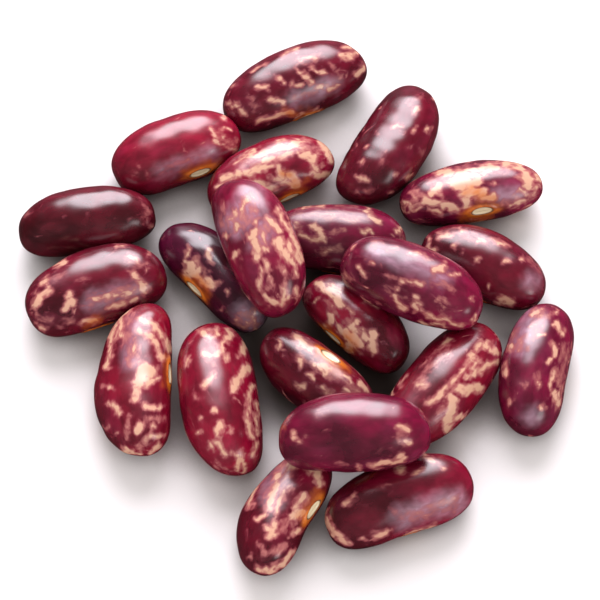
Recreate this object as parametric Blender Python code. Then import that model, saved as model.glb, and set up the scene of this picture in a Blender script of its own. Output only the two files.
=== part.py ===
"""A loose heap of dried kidney beans, modelled as one solid.

Twenty-one beans lie as they were tipped out: eighteen on the ground and three
across their neighbours. Each bean keeps its own length, width, thickness and
bend. Small necks join the beans where they touch or nearly touch, and a low
mound under the middle, hidden by the beans above it, gives the heap a flat
face to rest on.

Metres, +Z up. The origin is on the ground under the middle of the heap's box.
"""

import math
from dataclasses import dataclass

import bmesh
import bpy
import numpy as np
from mathutils import Matrix, Vector
from mathutils.bvhtree import BVHTree

HEAP_NAME = "bean_heap"
MM = 0.001

# The bean's own form. A higher fullness makes the ends blunter.
FULLNESS = 2.45
BEND_CENTRE = 0.35
RINGS = 11
SIDES = 10

# How far a bean's underside is bedded into the ground plane, which leaves a small flat spot on it.
BEDDING = 0.10 * MM

# Beans nearer to each other than this are joined by a neck that reaches a little into both.
NECK_REACH = 0.90 * MM
NECK_OVERLAP = 0.55 * MM

# The hidden mound under the middle, a squashed ball whose lower part is cut away by the ground plane.
MOUND_RADIUS = 12.0 * MM
MOUND_HEIGHT = 3.4 * MM
MOUND_SINK = 1.4 * MM
MOUND_CENTRE = (2.5 * MM, -3.0 * MM)
MOUND_SEGMENTS = 24
MOUND_RINGS = 8

# The slab that cuts everything below the ground plane away.
SLAB_SIDE = 120.0 * MM
SLAB_DEPTH = 10.0 * MM

WELD_DISTANCE = 0.005 * MM

COAT_COLOUR = (0.105, 0.012, 0.026, 1.0)
COAT_ROUGHNESS = 0.34


@dataclass(frozen=True)
class Bean:
    """One bean: where its middle lies, how it is turned, and its own size.

    Places and sizes are in millimetres and turns in degrees. The bean's length
    runs along its heading. A positive pitch lifts the leading end, a positive
    roll turns the hollow side up, and lift is the height of the lowest point.
    """

    name: str
    x: float
    y: float
    heading: float
    pitch: float
    roll: float
    lift: float
    length: float
    width: float
    thickness: float
    bend: float


BEANS = (
    Bean("back", -0.3, 27.3, 25, 0, -25, 0.0, 18.0, 8.2, 7.0, 0.035),
    Bean("back_left", -13.9, 18.1, 22, 0, -5, 0.0, 15.3, 8.2, 7.2, 0.030),
    Bean("back_middle", -3.2, 15.2, 25, 0, -6, 0.0, 15.5, 7.6, 6.6, 0.040),
    Bean("back_right", 10.7, 19.0, 240, 0, -15, 0.0, 16.8, 8.5, 7.2, 0.050),
    Bean("right_pale", 19.9, 12.7, 10, 0, 22, 0.0, 16.7, 7.5, 6.6, 0.030),
    Bean("left_dark", -23.8, 8.8, 10, 0, -30, 0.0, 15.4, 7.6, 7.0, 0.025),
    Bean("left", -22.6, 0.0, 21, 0, -10, 0.0, 16.0, 8.9, 7.2, 0.040),
    Bean("under_left", -9.1, 2.1, -48, 0, -2, 0.0, 15.8, 7.3, 6.4, 0.050),
    Bean("top_left", -4.1, 2.6, -66, -11, -40, 5.3, 16.4, 8.4, 7.2, 0.050),
    Bean("middle", 4.5, 6.5, -4, 0, -30, 0.0, 15.8, 7.8, 7.4, 0.030),
    Bean("top_right", 12.7, -1.9, -24, -3, -35, 5.2, 16.3, 8.2, 7.4, 0.020),
    Bean("right", 20.9, 3.1, -26, 0, -20, 0.0, 14.9, 7.7, 7.0, 0.030),
    Bean("under_right", 6.7, -4.0, -44, 0, 0, 0.0, 14.0, 7.2, 7.0, 0.045),
    Bean("centre", 2.0, -10.8, 142, 0, 60, 0.0, 14.4, 7.5, 7.0, 0.040),
    Bean("front_left", -17.4, -11.2, 89, 0, 20, 0.0, 18.0, 8.5, 7.3, 0.070),
    Bean("front_crimson", -8.3, -13.4, 100, 0, -30, 0.0, 18.2, 9.2, 7.6, 0.045),
    Bean("top_front", 6.3, -20.2, 3, -1, -30, 5.3, 16.5, 8.4, 7.4, 0.030),
    Bean("front_right", 15.9, -11.9, 232, 0, -20, 0.0, 17.3, 8.6, 7.6, 0.010),
    Bean("far_right", 26.4, -9.6, 77, 0, -30, 0.0, 15.9, 7.8, 7.0, 0.030),
    Bean("front_dark", 10.9, -25.4, 21, 0, -15, 0.0, 16.6, 8.3, 6.7, 0.040),
    Bean("front", -1.5, -26.8, 61, 0, 25, 0.0, 14.9, 7.6, 6.5, 0.060),
)


def clear_scene() -> None:
    """Remove the objects that the scene starts with."""
    for obj in list(bpy.data.objects):
        bpy.data.objects.remove(obj, do_unlink=True)


def new_object(name: str, points: np.ndarray, faces: list) -> bpy.types.Object:
    """Make a mesh object from points in metres and link it to the scene."""
    mesh = bpy.data.meshes.new(name)
    mesh.from_pydata([tuple(point) for point in points], [], faces)
    mesh.validate()
    obj = bpy.data.objects.new(name, mesh)
    bpy.context.scene.collection.objects.link(obj)
    return obj


def bean_points(bean: Bean) -> np.ndarray:
    """Work out a bean's points about its own middle, in metres.

    Along the length the half-width follows a superellipse, and the middle line
    is a parabola that bows towards +Y, so the hollow side faces -Y. A polygon
    with few sides holds less than its circle does, so its corners stand a
    little outside the true round, which keeps the bean's volume.
    """
    corner_gain = math.sqrt((2 * math.pi / SIDES) / math.sin(2 * math.pi / SIDES))
    along = -np.cos(np.linspace(0, math.pi, RINGS + 2))[1:-1, None]
    around = np.linspace(0, 2 * math.pi, SIDES, endpoint=False)[None, :]
    girth = corner_gain * (1 - np.abs(along) ** FULLNESS) ** (1 / FULLNESS)
    bow = bean.bend * bean.length * (BEND_CENTRE - along**2)
    x = along * bean.length / 2 + 0 * around
    y = bow + bean.width / 2 * girth * np.cos(around)
    z = bean.thickness / 2 * girth * np.sin(around)
    rings = np.stack([x, y, z], axis=-1).reshape(-1, 3)
    end_bow = bean.bend * bean.length * (BEND_CENTRE - 1)
    ends = np.array([[-bean.length / 2, end_bow, 0], [bean.length / 2, end_bow, 0]])
    return np.vstack([rings, ends]) * MM


def bean_faces() -> list:
    """List a bean's faces: quads between the rings and a fan at each end."""
    first_end = RINGS * SIDES
    last_end = first_end + 1
    last_ring = (RINGS - 1) * SIDES
    faces = []
    for side in range(SIDES):
        following = (side + 1) % SIDES
        faces.append((first_end, following, side))
        faces.append((last_end, last_ring + side, last_ring + following))
        for ring in range(RINGS - 1):
            low = ring * SIDES
            high = low + SIDES
            faces.append((low + side, low + following, high + following, high + side))
    return faces


def bean_turn(bean: Bean) -> Matrix:
    """Turn a bean about its length, then tip it, then head it."""
    roll = Matrix.Rotation(math.radians(-bean.roll), 3, "X")
    pitch = Matrix.Rotation(math.radians(-bean.pitch), 3, "Y")
    heading = Matrix.Rotation(math.radians(bean.heading), 3, "Z")
    return heading @ pitch @ roll


def make_bean(bean: Bean) -> bpy.types.Object:
    """Make one bean where it lies, bedded a hair into what is under it."""
    turned = bean_points(bean) @ np.array(bean_turn(bean)).T
    height = bean.lift * MM - BEDDING - turned[:, 2].min()
    placed = turned + np.array([bean.x * MM, bean.y * MM, height])
    return new_object(bean.name, placed, bean_faces())


def make_mound() -> bpy.types.Object:
    """Make the hidden mound: a ball squashed to a low dome, its lowest part below the ground."""
    mesh = bpy.data.meshes.new("mound")
    work = bmesh.new()
    bmesh.ops.create_uvsphere(work, u_segments=MOUND_SEGMENTS, v_segments=MOUND_RINGS, radius=1.0)
    squash = Matrix.Diagonal((MOUND_RADIUS, MOUND_RADIUS, MOUND_HEIGHT + MOUND_SINK, 1.0))
    place = Matrix.Translation((*MOUND_CENTRE, -MOUND_SINK))
    bmesh.ops.transform(work, matrix=place @ squash, verts=work.verts)
    work.to_mesh(mesh)
    work.free()
    mound = bpy.data.objects.new(HEAP_NAME, mesh)
    bpy.context.scene.collection.objects.link(mound)
    return mound


def surface_tree(obj: bpy.types.Object) -> BVHTree:
    """Index an object's faces for the search for near points."""
    mesh = obj.data
    return BVHTree.FromPolygons([v.co for v in mesh.vertices], [p.vertices for p in mesh.polygons])


def nearest_pair(first: bpy.types.Object, second_tree: BVHTree) -> tuple:
    """Find where one bean comes nearest to another: the two points and their distance."""
    best = (None, None, math.inf)
    for vertex in first.data.vertices:
        point, _, _, distance = second_tree.find_nearest(vertex.co)
        if distance < best[2]:
            best = (vertex.co.copy(), point, distance)
    return best


def make_necks(beans: list) -> list:
    """Join each pair of beans that touch or nearly touch with a small ball at their nearest points."""
    trees = [surface_tree(bean) for bean in beans]
    necks = []
    for i, first in enumerate(beans):
        for j in range(i + 1, len(beans)):
            forward = nearest_pair(first, trees[j])
            backward = nearest_pair(beans[j], trees[i])
            start, end, gap = min(forward, backward, key=lambda pair: pair[2])
            if gap > NECK_REACH:
                continue
            necks.append(make_neck(f"neck_{i}_{j}", (start + end) / 2, gap / 2 + NECK_OVERLAP))
    return necks


def make_neck(name: str, centre: Vector, radius: float) -> bpy.types.Object:
    """Make one neck, a twenty-sided ball."""
    mesh = bpy.data.meshes.new(name)
    work = bmesh.new()
    bmesh.ops.create_icosphere(work, subdivisions=1, radius=radius, matrix=Matrix.Translation(centre))
    work.to_mesh(mesh)
    work.free()
    neck = bpy.data.objects.new(name, mesh)
    bpy.context.scene.collection.objects.link(neck)
    return neck


def make_slab() -> bpy.types.Object:
    """Make the slab of ground whose top is the ground plane."""
    mesh = bpy.data.meshes.new("ground_slab")
    work = bmesh.new()
    size = Matrix.Diagonal((SLAB_SIDE, SLAB_SIDE, SLAB_DEPTH, 1.0))
    place = Matrix.Translation((0, 0, -SLAB_DEPTH / 2))
    bmesh.ops.create_cube(work, size=1.0, matrix=place @ size)
    work.to_mesh(mesh)
    work.free()
    slab = bpy.data.objects.new("ground_slab", mesh)
    bpy.context.scene.collection.objects.link(slab)
    return slab


def fuse(mound: bpy.types.Object, pieces: list, slab: bpy.types.Object) -> None:
    """Join the pieces to the mound, cut the ground plane, and remove the pieces."""
    group = bpy.data.collections.new("fused_pieces")
    bpy.context.scene.collection.children.link(group)
    for piece in pieces:
        bpy.context.scene.collection.objects.unlink(piece)
        group.objects.link(piece)

    union = mound.modifiers.new("union", "BOOLEAN")
    union.operation = "UNION"
    union.operand_type = "COLLECTION"
    union.collection = group
    union.solver = "EXACT"

    cut = mound.modifiers.new("ground", "BOOLEAN")
    cut.operation = "DIFFERENCE"
    cut.object = slab
    cut.solver = "EXACT"

    graph = bpy.context.evaluated_depsgraph_get()
    fused = bpy.data.meshes.new_from_object(mound.evaluated_get(graph))
    mound.modifiers.clear()
    mound.data = fused
    for piece in [*pieces, slab]:
        bpy.data.objects.remove(piece, do_unlink=True)
    bpy.data.collections.remove(group)


def clean(mesh: bpy.types.Mesh) -> None:
    """Weld the slivers that the joining leaves, and split what is left into triangles."""
    work = bmesh.new()
    work.from_mesh(mesh)
    bmesh.ops.remove_doubles(work, verts=work.verts, dist=WELD_DISTANCE)
    bmesh.ops.dissolve_degenerate(work, edges=work.edges, dist=WELD_DISTANCE)
    bmesh.ops.triangulate(work, faces=work.faces)
    work.to_mesh(mesh)
    work.free()


def centre_on_ground(mesh: bpy.types.Mesh) -> None:
    """Move the mesh so that the middle of its box is over the origin."""
    points = np.array([vertex.co for vertex in mesh.vertices])
    middle = (points.min(axis=0) + points.max(axis=0)) / 2
    mesh.transform(Matrix.Translation((-middle[0], -middle[1], 0)))


def coat_material() -> bpy.types.Material:
    """Make the glossy maroon seed coat."""
    material = bpy.data.materials.new("bean_coat")
    material.use_nodes = True
    shader = material.node_tree.nodes["Principled BSDF"]
    shader.inputs["Base Color"].default_value = COAT_COLOUR
    shader.inputs["Roughness"].default_value = COAT_ROUGHNESS
    shader.inputs["Metallic"].default_value = 0.0
    return material


def main() -> None:
    """Build the heap."""
    clear_scene()
    beans = [make_bean(bean) for bean in BEANS]
    necks = make_necks(beans)
    heap = make_mound()
    fuse(heap, [*beans, *necks], make_slab())
    clean(heap.data)
    centre_on_ground(heap.data)
    heap.data.materials.clear()
    heap.data.materials.append(coat_material())


main()
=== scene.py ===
"""A loose heap of dried speckled kidney beans on a pale table: the looks.

Every bean is a fine surface with the same place, turn and size as in the solids. Its streaks and
flecks are laid on the side that is seen from the front, in fractions of the bean's own outline,
and they run on round the other sides by a seeded rule.

Sizes are in millimetres until a mesh is made. Meshes and the studio are in metres.
"""

from __future__ import annotations

import logging
import math
from collections.abc import Sequence
from dataclasses import dataclass
from enum import Enum

import bpy
import numpy as np
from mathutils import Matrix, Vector


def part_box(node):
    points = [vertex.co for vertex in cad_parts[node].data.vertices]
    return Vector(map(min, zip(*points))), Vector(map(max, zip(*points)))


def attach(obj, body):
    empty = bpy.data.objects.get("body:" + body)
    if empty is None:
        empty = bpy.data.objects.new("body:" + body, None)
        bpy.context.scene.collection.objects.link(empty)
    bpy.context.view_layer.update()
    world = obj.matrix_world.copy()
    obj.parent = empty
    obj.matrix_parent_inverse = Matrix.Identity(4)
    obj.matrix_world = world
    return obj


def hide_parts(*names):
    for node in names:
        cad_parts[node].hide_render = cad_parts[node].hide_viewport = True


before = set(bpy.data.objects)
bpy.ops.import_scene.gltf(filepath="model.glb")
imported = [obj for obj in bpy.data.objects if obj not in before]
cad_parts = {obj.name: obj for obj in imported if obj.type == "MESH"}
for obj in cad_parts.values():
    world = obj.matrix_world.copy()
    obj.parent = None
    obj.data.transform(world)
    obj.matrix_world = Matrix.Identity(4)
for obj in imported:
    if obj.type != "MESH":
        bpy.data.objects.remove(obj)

log = logging.getLogger("beans")

Pair = tuple[float, float]
Triple = tuple[float, float, float]
Rgb = tuple[float, float, float]
Rgba = tuple[float, float, float, float]
Socket = bpy.types.NodeSocket

MM = 0.001
HEAP_NODE = "bean_heap"
ROOT_BODY = "root"

# Each bean draws from its own seed, and reads its own stretch of the grain, this many mm long.
SEED = 4117
SEED_SPACING = 40.0


class Coat(Enum):
    """The kinds of seed coat in the heap. Each kind is one piece of the model."""

    DARK = "dark"
    CRIMSON = "crimson"
    FLECKED = "flecked"
    MARBLED = "marbled"
    DUSKY = "dusky"


class Paint(Enum):
    """What a mark does to the coat under it."""

    CREAM = "cream"
    # A salmon patch. A few of these are partly painted highlight.
    BLUSH = "blush"
    # A painted highlight: a soft lilac sheen laid into the coat's colour.
    BLOOM = "bloom"
    BARE = "bare"
    AMBER = "amber"


@dataclass(frozen=True)
class Mark:
    """A streak, or a fleck where it has one point, on a bean's shown side.

    Points are pairs of fractions of the outline's half sizes, along the bean's heading and across
    it to the left. The width is in millimetres.
    """

    paint: Paint
    width: float
    points: tuple[Pair, ...]


def cream(width: float, *points: Pair) -> Mark:
    """Make a cream mark."""
    return Mark(Paint.CREAM, width, points)


def blush(width: float, *points: Pair) -> Mark:
    """Make a salmon patch, as strong as a cream mark's margin. A few lie where highlights fall, as
    partly painted highlight.
    """
    return Mark(Paint.BLUSH, width, points)


def bloom(width: float, *points: Pair) -> Mark:
    """Make a painted highlight: a soft lilac sheen that pales the ground colour."""
    return Mark(Paint.BLOOM, width, points)


def bare(width: float, *points: Pair) -> Mark:
    """Make a mark that keeps the coat's own colour where cream would cover it."""
    return Mark(Paint.BARE, width, points)


def amber(width: float, *points: Pair) -> Mark:
    """Make an orange-brown stain."""
    return Mark(Paint.AMBER, width, points)


@dataclass(frozen=True)
class Dye:
    """A coat's ground colour, in linear colour: its fair, lit side, its deep side, partly painted
    shade, and its clouds.
    """

    fair_and_lit: Rgb
    deep_and_shaded: Rgb
    cloud: Rgb


# Each dye's second colour is partly a deeper dye and partly painted shade.
CRIMSON_DYE = Dye((0.210, 0.001, 0.018), (0.100, 0.000, 0.008), (0.240, 0.010, 0.040))
CERISE_DYE = Dye((0.165, 0.002, 0.024), (0.070, 0.000, 0.009), (0.220, 0.016, 0.060))
CARMINE_DYE = Dye((0.165, 0.001, 0.013), (0.060, 0.000, 0.005), (0.205, 0.008, 0.036))
WINE_DYE = Dye((0.160, 0.001, 0.016), (0.036, 0.000, 0.003), (0.200, 0.010, 0.040))
MAROON_DYE = Dye((0.112, 0.000, 0.010), (0.044, 0.000, 0.004), (0.150, 0.006, 0.027))
BROWN_DYE = Dye((0.092, 0.001, 0.009), (0.032, 0.000, 0.002), (0.100, 0.006, 0.014))
PLUM_DYE = Dye((0.135, 0.000, 0.021), (0.056, 0.000, 0.009), (0.175, 0.012, 0.050))
AUBERGINE_DYE = Dye((0.052, 0.001, 0.014), (0.022, 0.000, 0.005), (0.090, 0.014, 0.040))


@dataclass(frozen=True)
class Bean:
    """One bean: its place, turn and size, and how its coat looks.

    Places and sizes are in millimetres and turns in degrees, as in the solids. The deep pair says
    which way the ground colour darkens, along and across the shown side: partly a deeper dye, and
    partly painted shade on the sides that face away from the key lamp and on beans that lie under
    others. Cover is how much cream the unseen sides have, and sprinkle how much of that the shown
    side has besides its marks.
    Scar is where the scar lies along the hollow side, as a fraction of the half length. Rise is
    how far it lies over the middle line, in millimetres, and stain how amber the coat is round it.
    """

    name: str
    x: float
    y: float
    heading: float
    pitch: float
    roll: float
    lift: float
    length: float
    width: float
    thickness: float
    bend: float
    coat: Coat
    dye: Dye
    deep_and_shaded: Pair
    cover: float
    sprinkle: float
    scar: float = 0.0
    rise: float = 0.0
    stain: float = 0.6
    marks: tuple[Mark, ...] = ()


# Each bean's first row gives x, y, heading, pitch, roll, lift, length, width, thickness and bend.
# Its second row gives the coat, dye, deep pair, cover and sprinkle, and where its scar shows.
# The deep pair lays painted shade in part. The marks that pale the coat to lilac are painted
# highlights, and a few salmon blush marks are partly painted highlight too.
BEANS: tuple[Bean, ...] = (
    Bean(
        "back", -0.3, 27.3, 25, 0, -25, 0.0, 18.0, 8.2, 7.0, 0.035,
        Coat.FLECKED, MAROON_DYE, (-0.2, -0.5), 0.34, 0.25,
        marks=(
            cream(0.45, (-0.80, 0.05), (-0.75, -0.25)),
            cream(0.28, (-0.91, 0.18), (-0.87, 0.02)),
            cream(0.32, (-0.45, 0.33), (-0.35, 0.15)),
            cream(0.46, (-0.38, -0.15), (-0.22, -0.38)),
            cream(0.28, (-0.18, 0.30), (-0.13, 0.14)),
            cream(0.34, (0.00, 0.00), (0.10, -0.06)),
            cream(0.50, (0.14, 0.27), (0.20, 0.05), (0.22, -0.12)),
            cream(0.40, (0.30, 0.25), (0.42, 0.00)),
            cream(0.26, (0.28, -0.36), (0.34, -0.42)),
            cream(0.34, (0.42, -0.50), (0.54, -0.48)),
            cream(0.44, (-0.62, -0.60), (-0.35, -0.66), (-0.15, -0.72)),
            cream(0.34, (-0.10, -0.88), (0.18, -0.94)),
            cream(0.42, (0.70, 0.20), (0.84, 0.12), (0.95, 0.20)),
            cream(0.36, (0.80, 0.46), (0.94, 0.32)),
            cream(0.46, (0.80, -0.42), (0.95, -0.22)),
            cream(0.40, (0.20, 0.54), (0.42, 0.46)),
            cream(0.25, (-0.45, 0.78), (-0.25, 0.82)),
            cream(0.24, (0.00, 0.86), (0.20, 0.86)),
            blush(1.00, (0.15, 0.50), (0.48, 0.46)),
            blush(0.60, (-0.86, 0.62), (-0.66, 0.62)),
            blush(0.80, (-0.60, 0.10), (-0.55, -0.30)),
            blush(0.70, (0.55, 0.10), (0.62, -0.25)),
            blush(0.80, (-0.05, -0.35), (0.20, -0.42)),
            amber(0.70, (-0.22, -0.58), (-0.12, -0.80), (0.05, -0.88)),
            bloom(0.90, (-0.05, -0.42), (0.45, -0.42)),
        ),
    ),
    Bean(
        "back_left", -13.9, 18.1, 22, 0, -5, 0.0, 15.3, 8.2, 7.2, 0.030,
        Coat.CRIMSON, CRIMSON_DYE, (-0.3, -0.5), 0.24, 0.02, scar=0.20, rise=0.6, stain=1.0,
        marks=(
            cream(0.40, (0.62, 0.28), (0.65, 0.06)),
            cream(0.36, (0.85, 0.45)),
            cream(0.34, (0.60, -0.10), (0.70, -0.25)),
            cream(0.26, (0.75, -0.05)),
            cream(0.38, (0.72, -0.36), (0.85, -0.52)),
            cream(0.30, (0.90, -0.30)),
            cream(0.26, (0.80, 0.14), (0.88, 0.04)),
            blush(0.80, (0.68, 0.20), (0.74, -0.15), (0.84, -0.40)),
            blush(0.30, (-0.52, -0.38)),
            blush(0.26, (-0.70, -0.26)),
            blush(0.26, (-0.60, -0.10)),
            # Partly painted highlight: this salmon patch lies where the second highlight falls.
            blush(0.36, (-0.30, -0.42), (0.30, -0.40)),
            amber(0.90, (0.04, -0.68), (0.40, -0.66)),
            bloom(0.50, (-0.30, -0.42), (0.50, -0.38)),
        ),
    ),
    Bean(
        "back_middle", -3.2, 15.2, 25, 0, -6, 0.0, 15.5, 7.6, 6.6, 0.040,
        Coat.MARBLED, CRIMSON_DYE, (-0.3, -0.4), 0.52, 0.20, scar=0.12, stain=0.8,
        marks=(
            cream(0.85, (-0.68, 0.36), (-0.42, 0.26)),
            cream(0.40, (-0.82, 0.16), (-0.66, 0.10)),
            cream(0.55, (-0.28, -0.05), (-0.12, -0.25), (0.00, -0.45)),
            cream(0.55, (0.00, -0.10), (0.12, -0.35), (0.25, -0.60)),
            cream(0.60, (-0.30, 0.24), (-0.08, 0.26), (0.08, 0.14)),
            cream(0.60, (0.55, 0.22), (0.68, 0.00), (0.66, -0.40)),
            cream(1.00, (0.30, -0.32), (0.34, -0.60)),
            cream(0.60, (0.90, 0.30), (0.96, 0.00), (0.94, -0.40)),
            cream(0.60, (0.62, -0.52), (0.84, -0.74)),
            cream(0.90, (-0.10, 0.60), (0.25, 0.62), (0.55, 0.55)),
            cream(0.60, (0.00, 0.40), (0.25, 0.34), (0.42, 0.30)),
            cream(0.30, (-0.40, 0.70), (-0.10, 0.78)),
            blush(1.40, (-0.30, 0.45), (0.20, 0.45), (0.70, 0.40)),
            blush(0.90, (0.80, 0.20), (0.80, -0.30)),
            blush(0.80, (-0.50, -0.10), (-0.30, -0.40)),
            amber(0.70, (0.28, -0.62), (0.50, -0.62)),
            bare(0.50, (0.04, 0.02), (0.05, -0.18)),
            bare(0.85, (0.36, 0.02), (0.52, -0.12)),
            amber(0.80, (0.15, -0.82), (0.40, -0.84)),
            cream(0.70, (0.18, 0.06), (0.20, -0.34)),
            amber(0.60, (0.19, -0.20), (0.30, -0.46)),
        ),
    ),
    Bean(
        "back_right", 10.7, 19.0, 240, 0, -15, 0.0, 16.8, 8.5, 7.2, 0.050,
        Coat.FLECKED, MAROON_DYE, (0.35, -0.3), 0.26, 0.12,
        marks=(
            cream(0.42, (-0.54, 0.62), (-0.50, 0.60)),
            cream(0.44, (-0.42, 0.28)),
            cream(0.42, (-0.35, -0.10), (-0.28, -0.20)),
            cream(0.36, (0.28, 0.50)),
            cream(0.30, (0.18, 0.86), (0.24, 0.84)),
            cream(0.24, (0.55, 0.70)),
            cream(0.34, (0.55, -0.08), (0.60, -0.38)),
            cream(0.34, (0.20, -0.60)),
            cream(0.28, (0.40, -0.45)),
            cream(0.28, (-0.95, 0.30)),
            cream(0.30, (-0.72, 0.06), (-0.60, -0.02)),
            blush(0.40, (-0.15, 0.42)),
            blush(0.40, (-0.20, 0.75)),
            blush(0.50, (-0.86, -0.12), (-0.70, -0.30)),
            blush(0.50, (0.10, -0.12), (0.30, 0.02)),
            blush(0.60, (0.70, 0.20), (0.80, -0.10)),
            blush(0.40, (-0.05, -0.56)),
        ),
    ),
    Bean(
        "right_pale", 19.9, 12.7, 10, 0, 22, 0.0, 16.7, 7.5, 6.6, 0.030,
        Coat.MARBLED, PLUM_DYE, (-0.5, -0.3), 0.66, 0.34, scar=0.06, stain=1.0,
        marks=(
            cream(0.80, (-0.62, 0.00), (-0.55, -0.15), (-0.35, -0.30), (-0.18, -0.42)),
            cream(1.00, (0.00, 0.28), (0.00, 0.04)),
            cream(1.10, (-0.10, 0.00), (0.14, -0.06)),
            cream(0.70, (0.10, -0.22), (0.30, -0.26)),
            cream(0.80, (-0.45, 0.30), (-0.20, 0.48), (0.10, 0.46)),
            cream(0.80, (-0.40, 0.78), (-0.18, 0.72)),
            cream(0.80, (-0.10, 0.66), (0.40, 0.66)),
            cream(0.50, (0.70, 0.50), (0.74, 0.34)),
            cream(0.50, (0.78, 0.14), (0.82, -0.06)),
            cream(0.44, (0.90, 0.26), (0.94, 0.08)),
            cream(0.40, (0.92, -0.18), (0.86, -0.36)),
            cream(0.40, (0.66, -0.18), (0.74, -0.34)),
            cream(0.40, (0.52, -0.62), (0.70, -0.58)),
            cream(0.32, (0.33, 0.15)),
            cream(0.34, (-0.92, -0.04), (-0.86, -0.10)),
            cream(0.34, (-0.80, 0.20), (-0.72, 0.30)),
            cream(0.34, (-0.62, -0.36), (-0.48, -0.50)),
            blush(1.80, (-0.45, 0.52), (0.00, 0.62), (0.50, 0.55)),
            blush(1.70, (0.74, 0.30), (0.88, 0.00), (0.78, -0.30)),
            blush(1.10, (0.45, -0.50), (0.72, -0.50)),
            blush(0.90, (-0.86, 0.00), (-0.70, 0.10)),
            amber(1.00, (-0.02, 0.06), (0.10, -0.10)),
            amber(0.90, (0.12, -0.26), (0.30, -0.34)),
            amber(0.90, (-0.18, -0.80), (0.20, -0.88)),
            bare(0.60, (-0.33, 0.22), (-0.27, 0.00), (-0.20, -0.28)),
            bare(0.36, (-0.50, 0.06), (-0.46, -0.02)),
            bare(0.55, (0.26, 0.38), (0.50, 0.32), (0.62, 0.10), (0.54, -0.08), (0.38, -0.06)),
            cream(0.80, (0.76, 0.30), (0.84, 0.10), (0.78, -0.10)),
            cream(0.90, (0.55, 0.74), (0.72, 0.54)),
            cream(1.10, (-0.28, 0.36), (0.00, 0.30), (0.14, 0.36)),
            bloom(1.20, (0.40, -0.25), (0.60, -0.25)),
            blush(1.80, (0.80, 0.30), (0.90, 0.00), (0.80, -0.30)),
            cream(0.55, (-0.50, 0.18), (-0.42, 0.04)),
            cream(0.90, (-0.10, -0.14), (-0.06, -0.38)),
        ),
    ),
    Bean(
        "left_dark", -23.8, 8.8, 10, 0, -30, 0.0, 15.4, 7.6, 7.0, 0.025,
        Coat.DARK, BROWN_DYE, (-0.5, -0.4), 0.0, 0.0,
        marks=(
            blush(0.24, (0.00, 0.15)),
            cream(0.22, (0.90, -0.44)),
            blush(0.50, (-0.86, 0.46), (-0.80, 0.56)),
            blush(0.50, (0.80, 0.35), (0.90, 0.00), (0.84, -0.30)),
        ),
    ),
    Bean(
        "left", -22.6, 0.0, 21, 0, -10, 0.0, 16.0, 8.9, 7.2, 0.040,
        Coat.FLECKED, MAROON_DYE, (-0.2, -0.3), 0.40, 0.22, scar=-0.15, rise=-0.9, stain=0.3,
        marks=(
            cream(0.75, (-0.86, 0.06), (-0.74, 0.24), (-0.60, 0.34)),
            cream(0.34, (-0.70, 0.56), (-0.60, 0.60)),
            cream(0.70, (-0.46, -0.24), (-0.36, 0.02), (-0.34, -0.20)),
            cream(0.40, (-0.06, -0.22), (0.10, -0.32)),
            cream(0.34, (0.22, -0.36), (0.42, -0.42)),
            cream(0.60, (0.52, 0.06), (0.58, -0.16)),
            cream(0.55, (0.64, -0.30), (0.64, -0.52)),
            cream(0.34, (0.58, 0.48), (0.66, 0.30)),
            cream(0.30, (0.86, 0.38)),
            cream(0.34, (0.10, -0.60), (0.34, -0.62), (0.50, -0.60)),
            cream(0.36, (-0.32, -0.78), (-0.12, -0.76)),
            cream(0.26, (-0.86, -0.50), (-0.80, -0.60)),
            cream(0.22, (-0.94, -0.34)),
            cream(0.30, (-0.46, 0.82), (-0.30, 0.88)),
            cream(0.28, (0.46, 0.82), (0.58, 0.80)),
            blush(1.10, (-0.10, -0.26), (0.20, -0.30), (0.50, -0.34)),
            blush(0.80, (0.50, 0.30), (0.78, 0.10)),
            blush(0.60, (-0.90, -0.15), (-0.72, -0.40)),
            blush(0.70, (-0.62, -0.62), (-0.40, -0.55)),
            blush(0.60, (-0.55, 0.52), (-0.36, 0.58)),
            blush(0.40, (-0.20, 0.30), (0.00, 0.20)),
            amber(0.60, (-0.30, -0.80), (-0.10, -0.78)),
            bloom(1.10, (-0.10, -0.30), (0.50, -0.32)),
        ),
    ),
    Bean(
        "under_left", -9.1, 2.1, -48, 0, -2, 0.0, 15.8, 7.3, 6.4, 0.050,
        Coat.DUSKY, AUBERGINE_DYE, (0.4, 0.2), 0.34, 0.20, scar=-0.02, rise=0.7, stain=0.9,
        marks=(
            cream(0.65, (-0.34, 0.32), (-0.18, 0.08)),
            cream(0.42, (-0.55, -0.06), (-0.50, -0.30)),
            cream(0.55, (-0.44, -0.40), (-0.36, -0.60)),
            cream(0.80, (-0.24, -0.44), (-0.30, -0.72)),
            cream(0.40, (-0.12, -0.34), (0.02, -0.26), (0.12, -0.16)),
            cream(0.28, (0.75, -0.12)),
            cream(0.30, (0.88, -0.26)),
            cream(0.26, (0.80, -0.48)),
            cream(0.26, (0.66, -0.62)),
            cream(0.22, (0.95, -0.40)),
            cream(0.22, (0.62, -0.38)),
            cream(0.22, (0.30, -0.22)),
            cream(0.22, (0.40, -0.70)),
            blush(0.90, (-0.40, -0.20), (-0.10, -0.30)),
            blush(1.30, (0.70, -0.28), (0.86, -0.30)),
            blush(0.90, (0.66, -0.62), (0.84, -0.52)),
            amber(1.00, (-0.16, -0.60), (0.02, -0.62), (0.14, -0.76)),
            bloom(1.60, (0.68, -0.30), (0.86, -0.30)),
            cream(0.85, (-0.46, -0.46), (-0.22, -0.52), (0.02, -0.42)),
        ),
    ),
    Bean(
        "top_left", -4.1, 2.6, -66, -11, -40, 5.3, 16.4, 8.4, 7.2, 0.050,
        Coat.MARBLED, CERISE_DYE, (0.1, -0.6), 0.50, 0.22,
        marks=(
            cream(0.42, (-0.38, 0.78), (-0.10, 0.84), (0.20, 0.84), (0.42, 0.80)),
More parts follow.
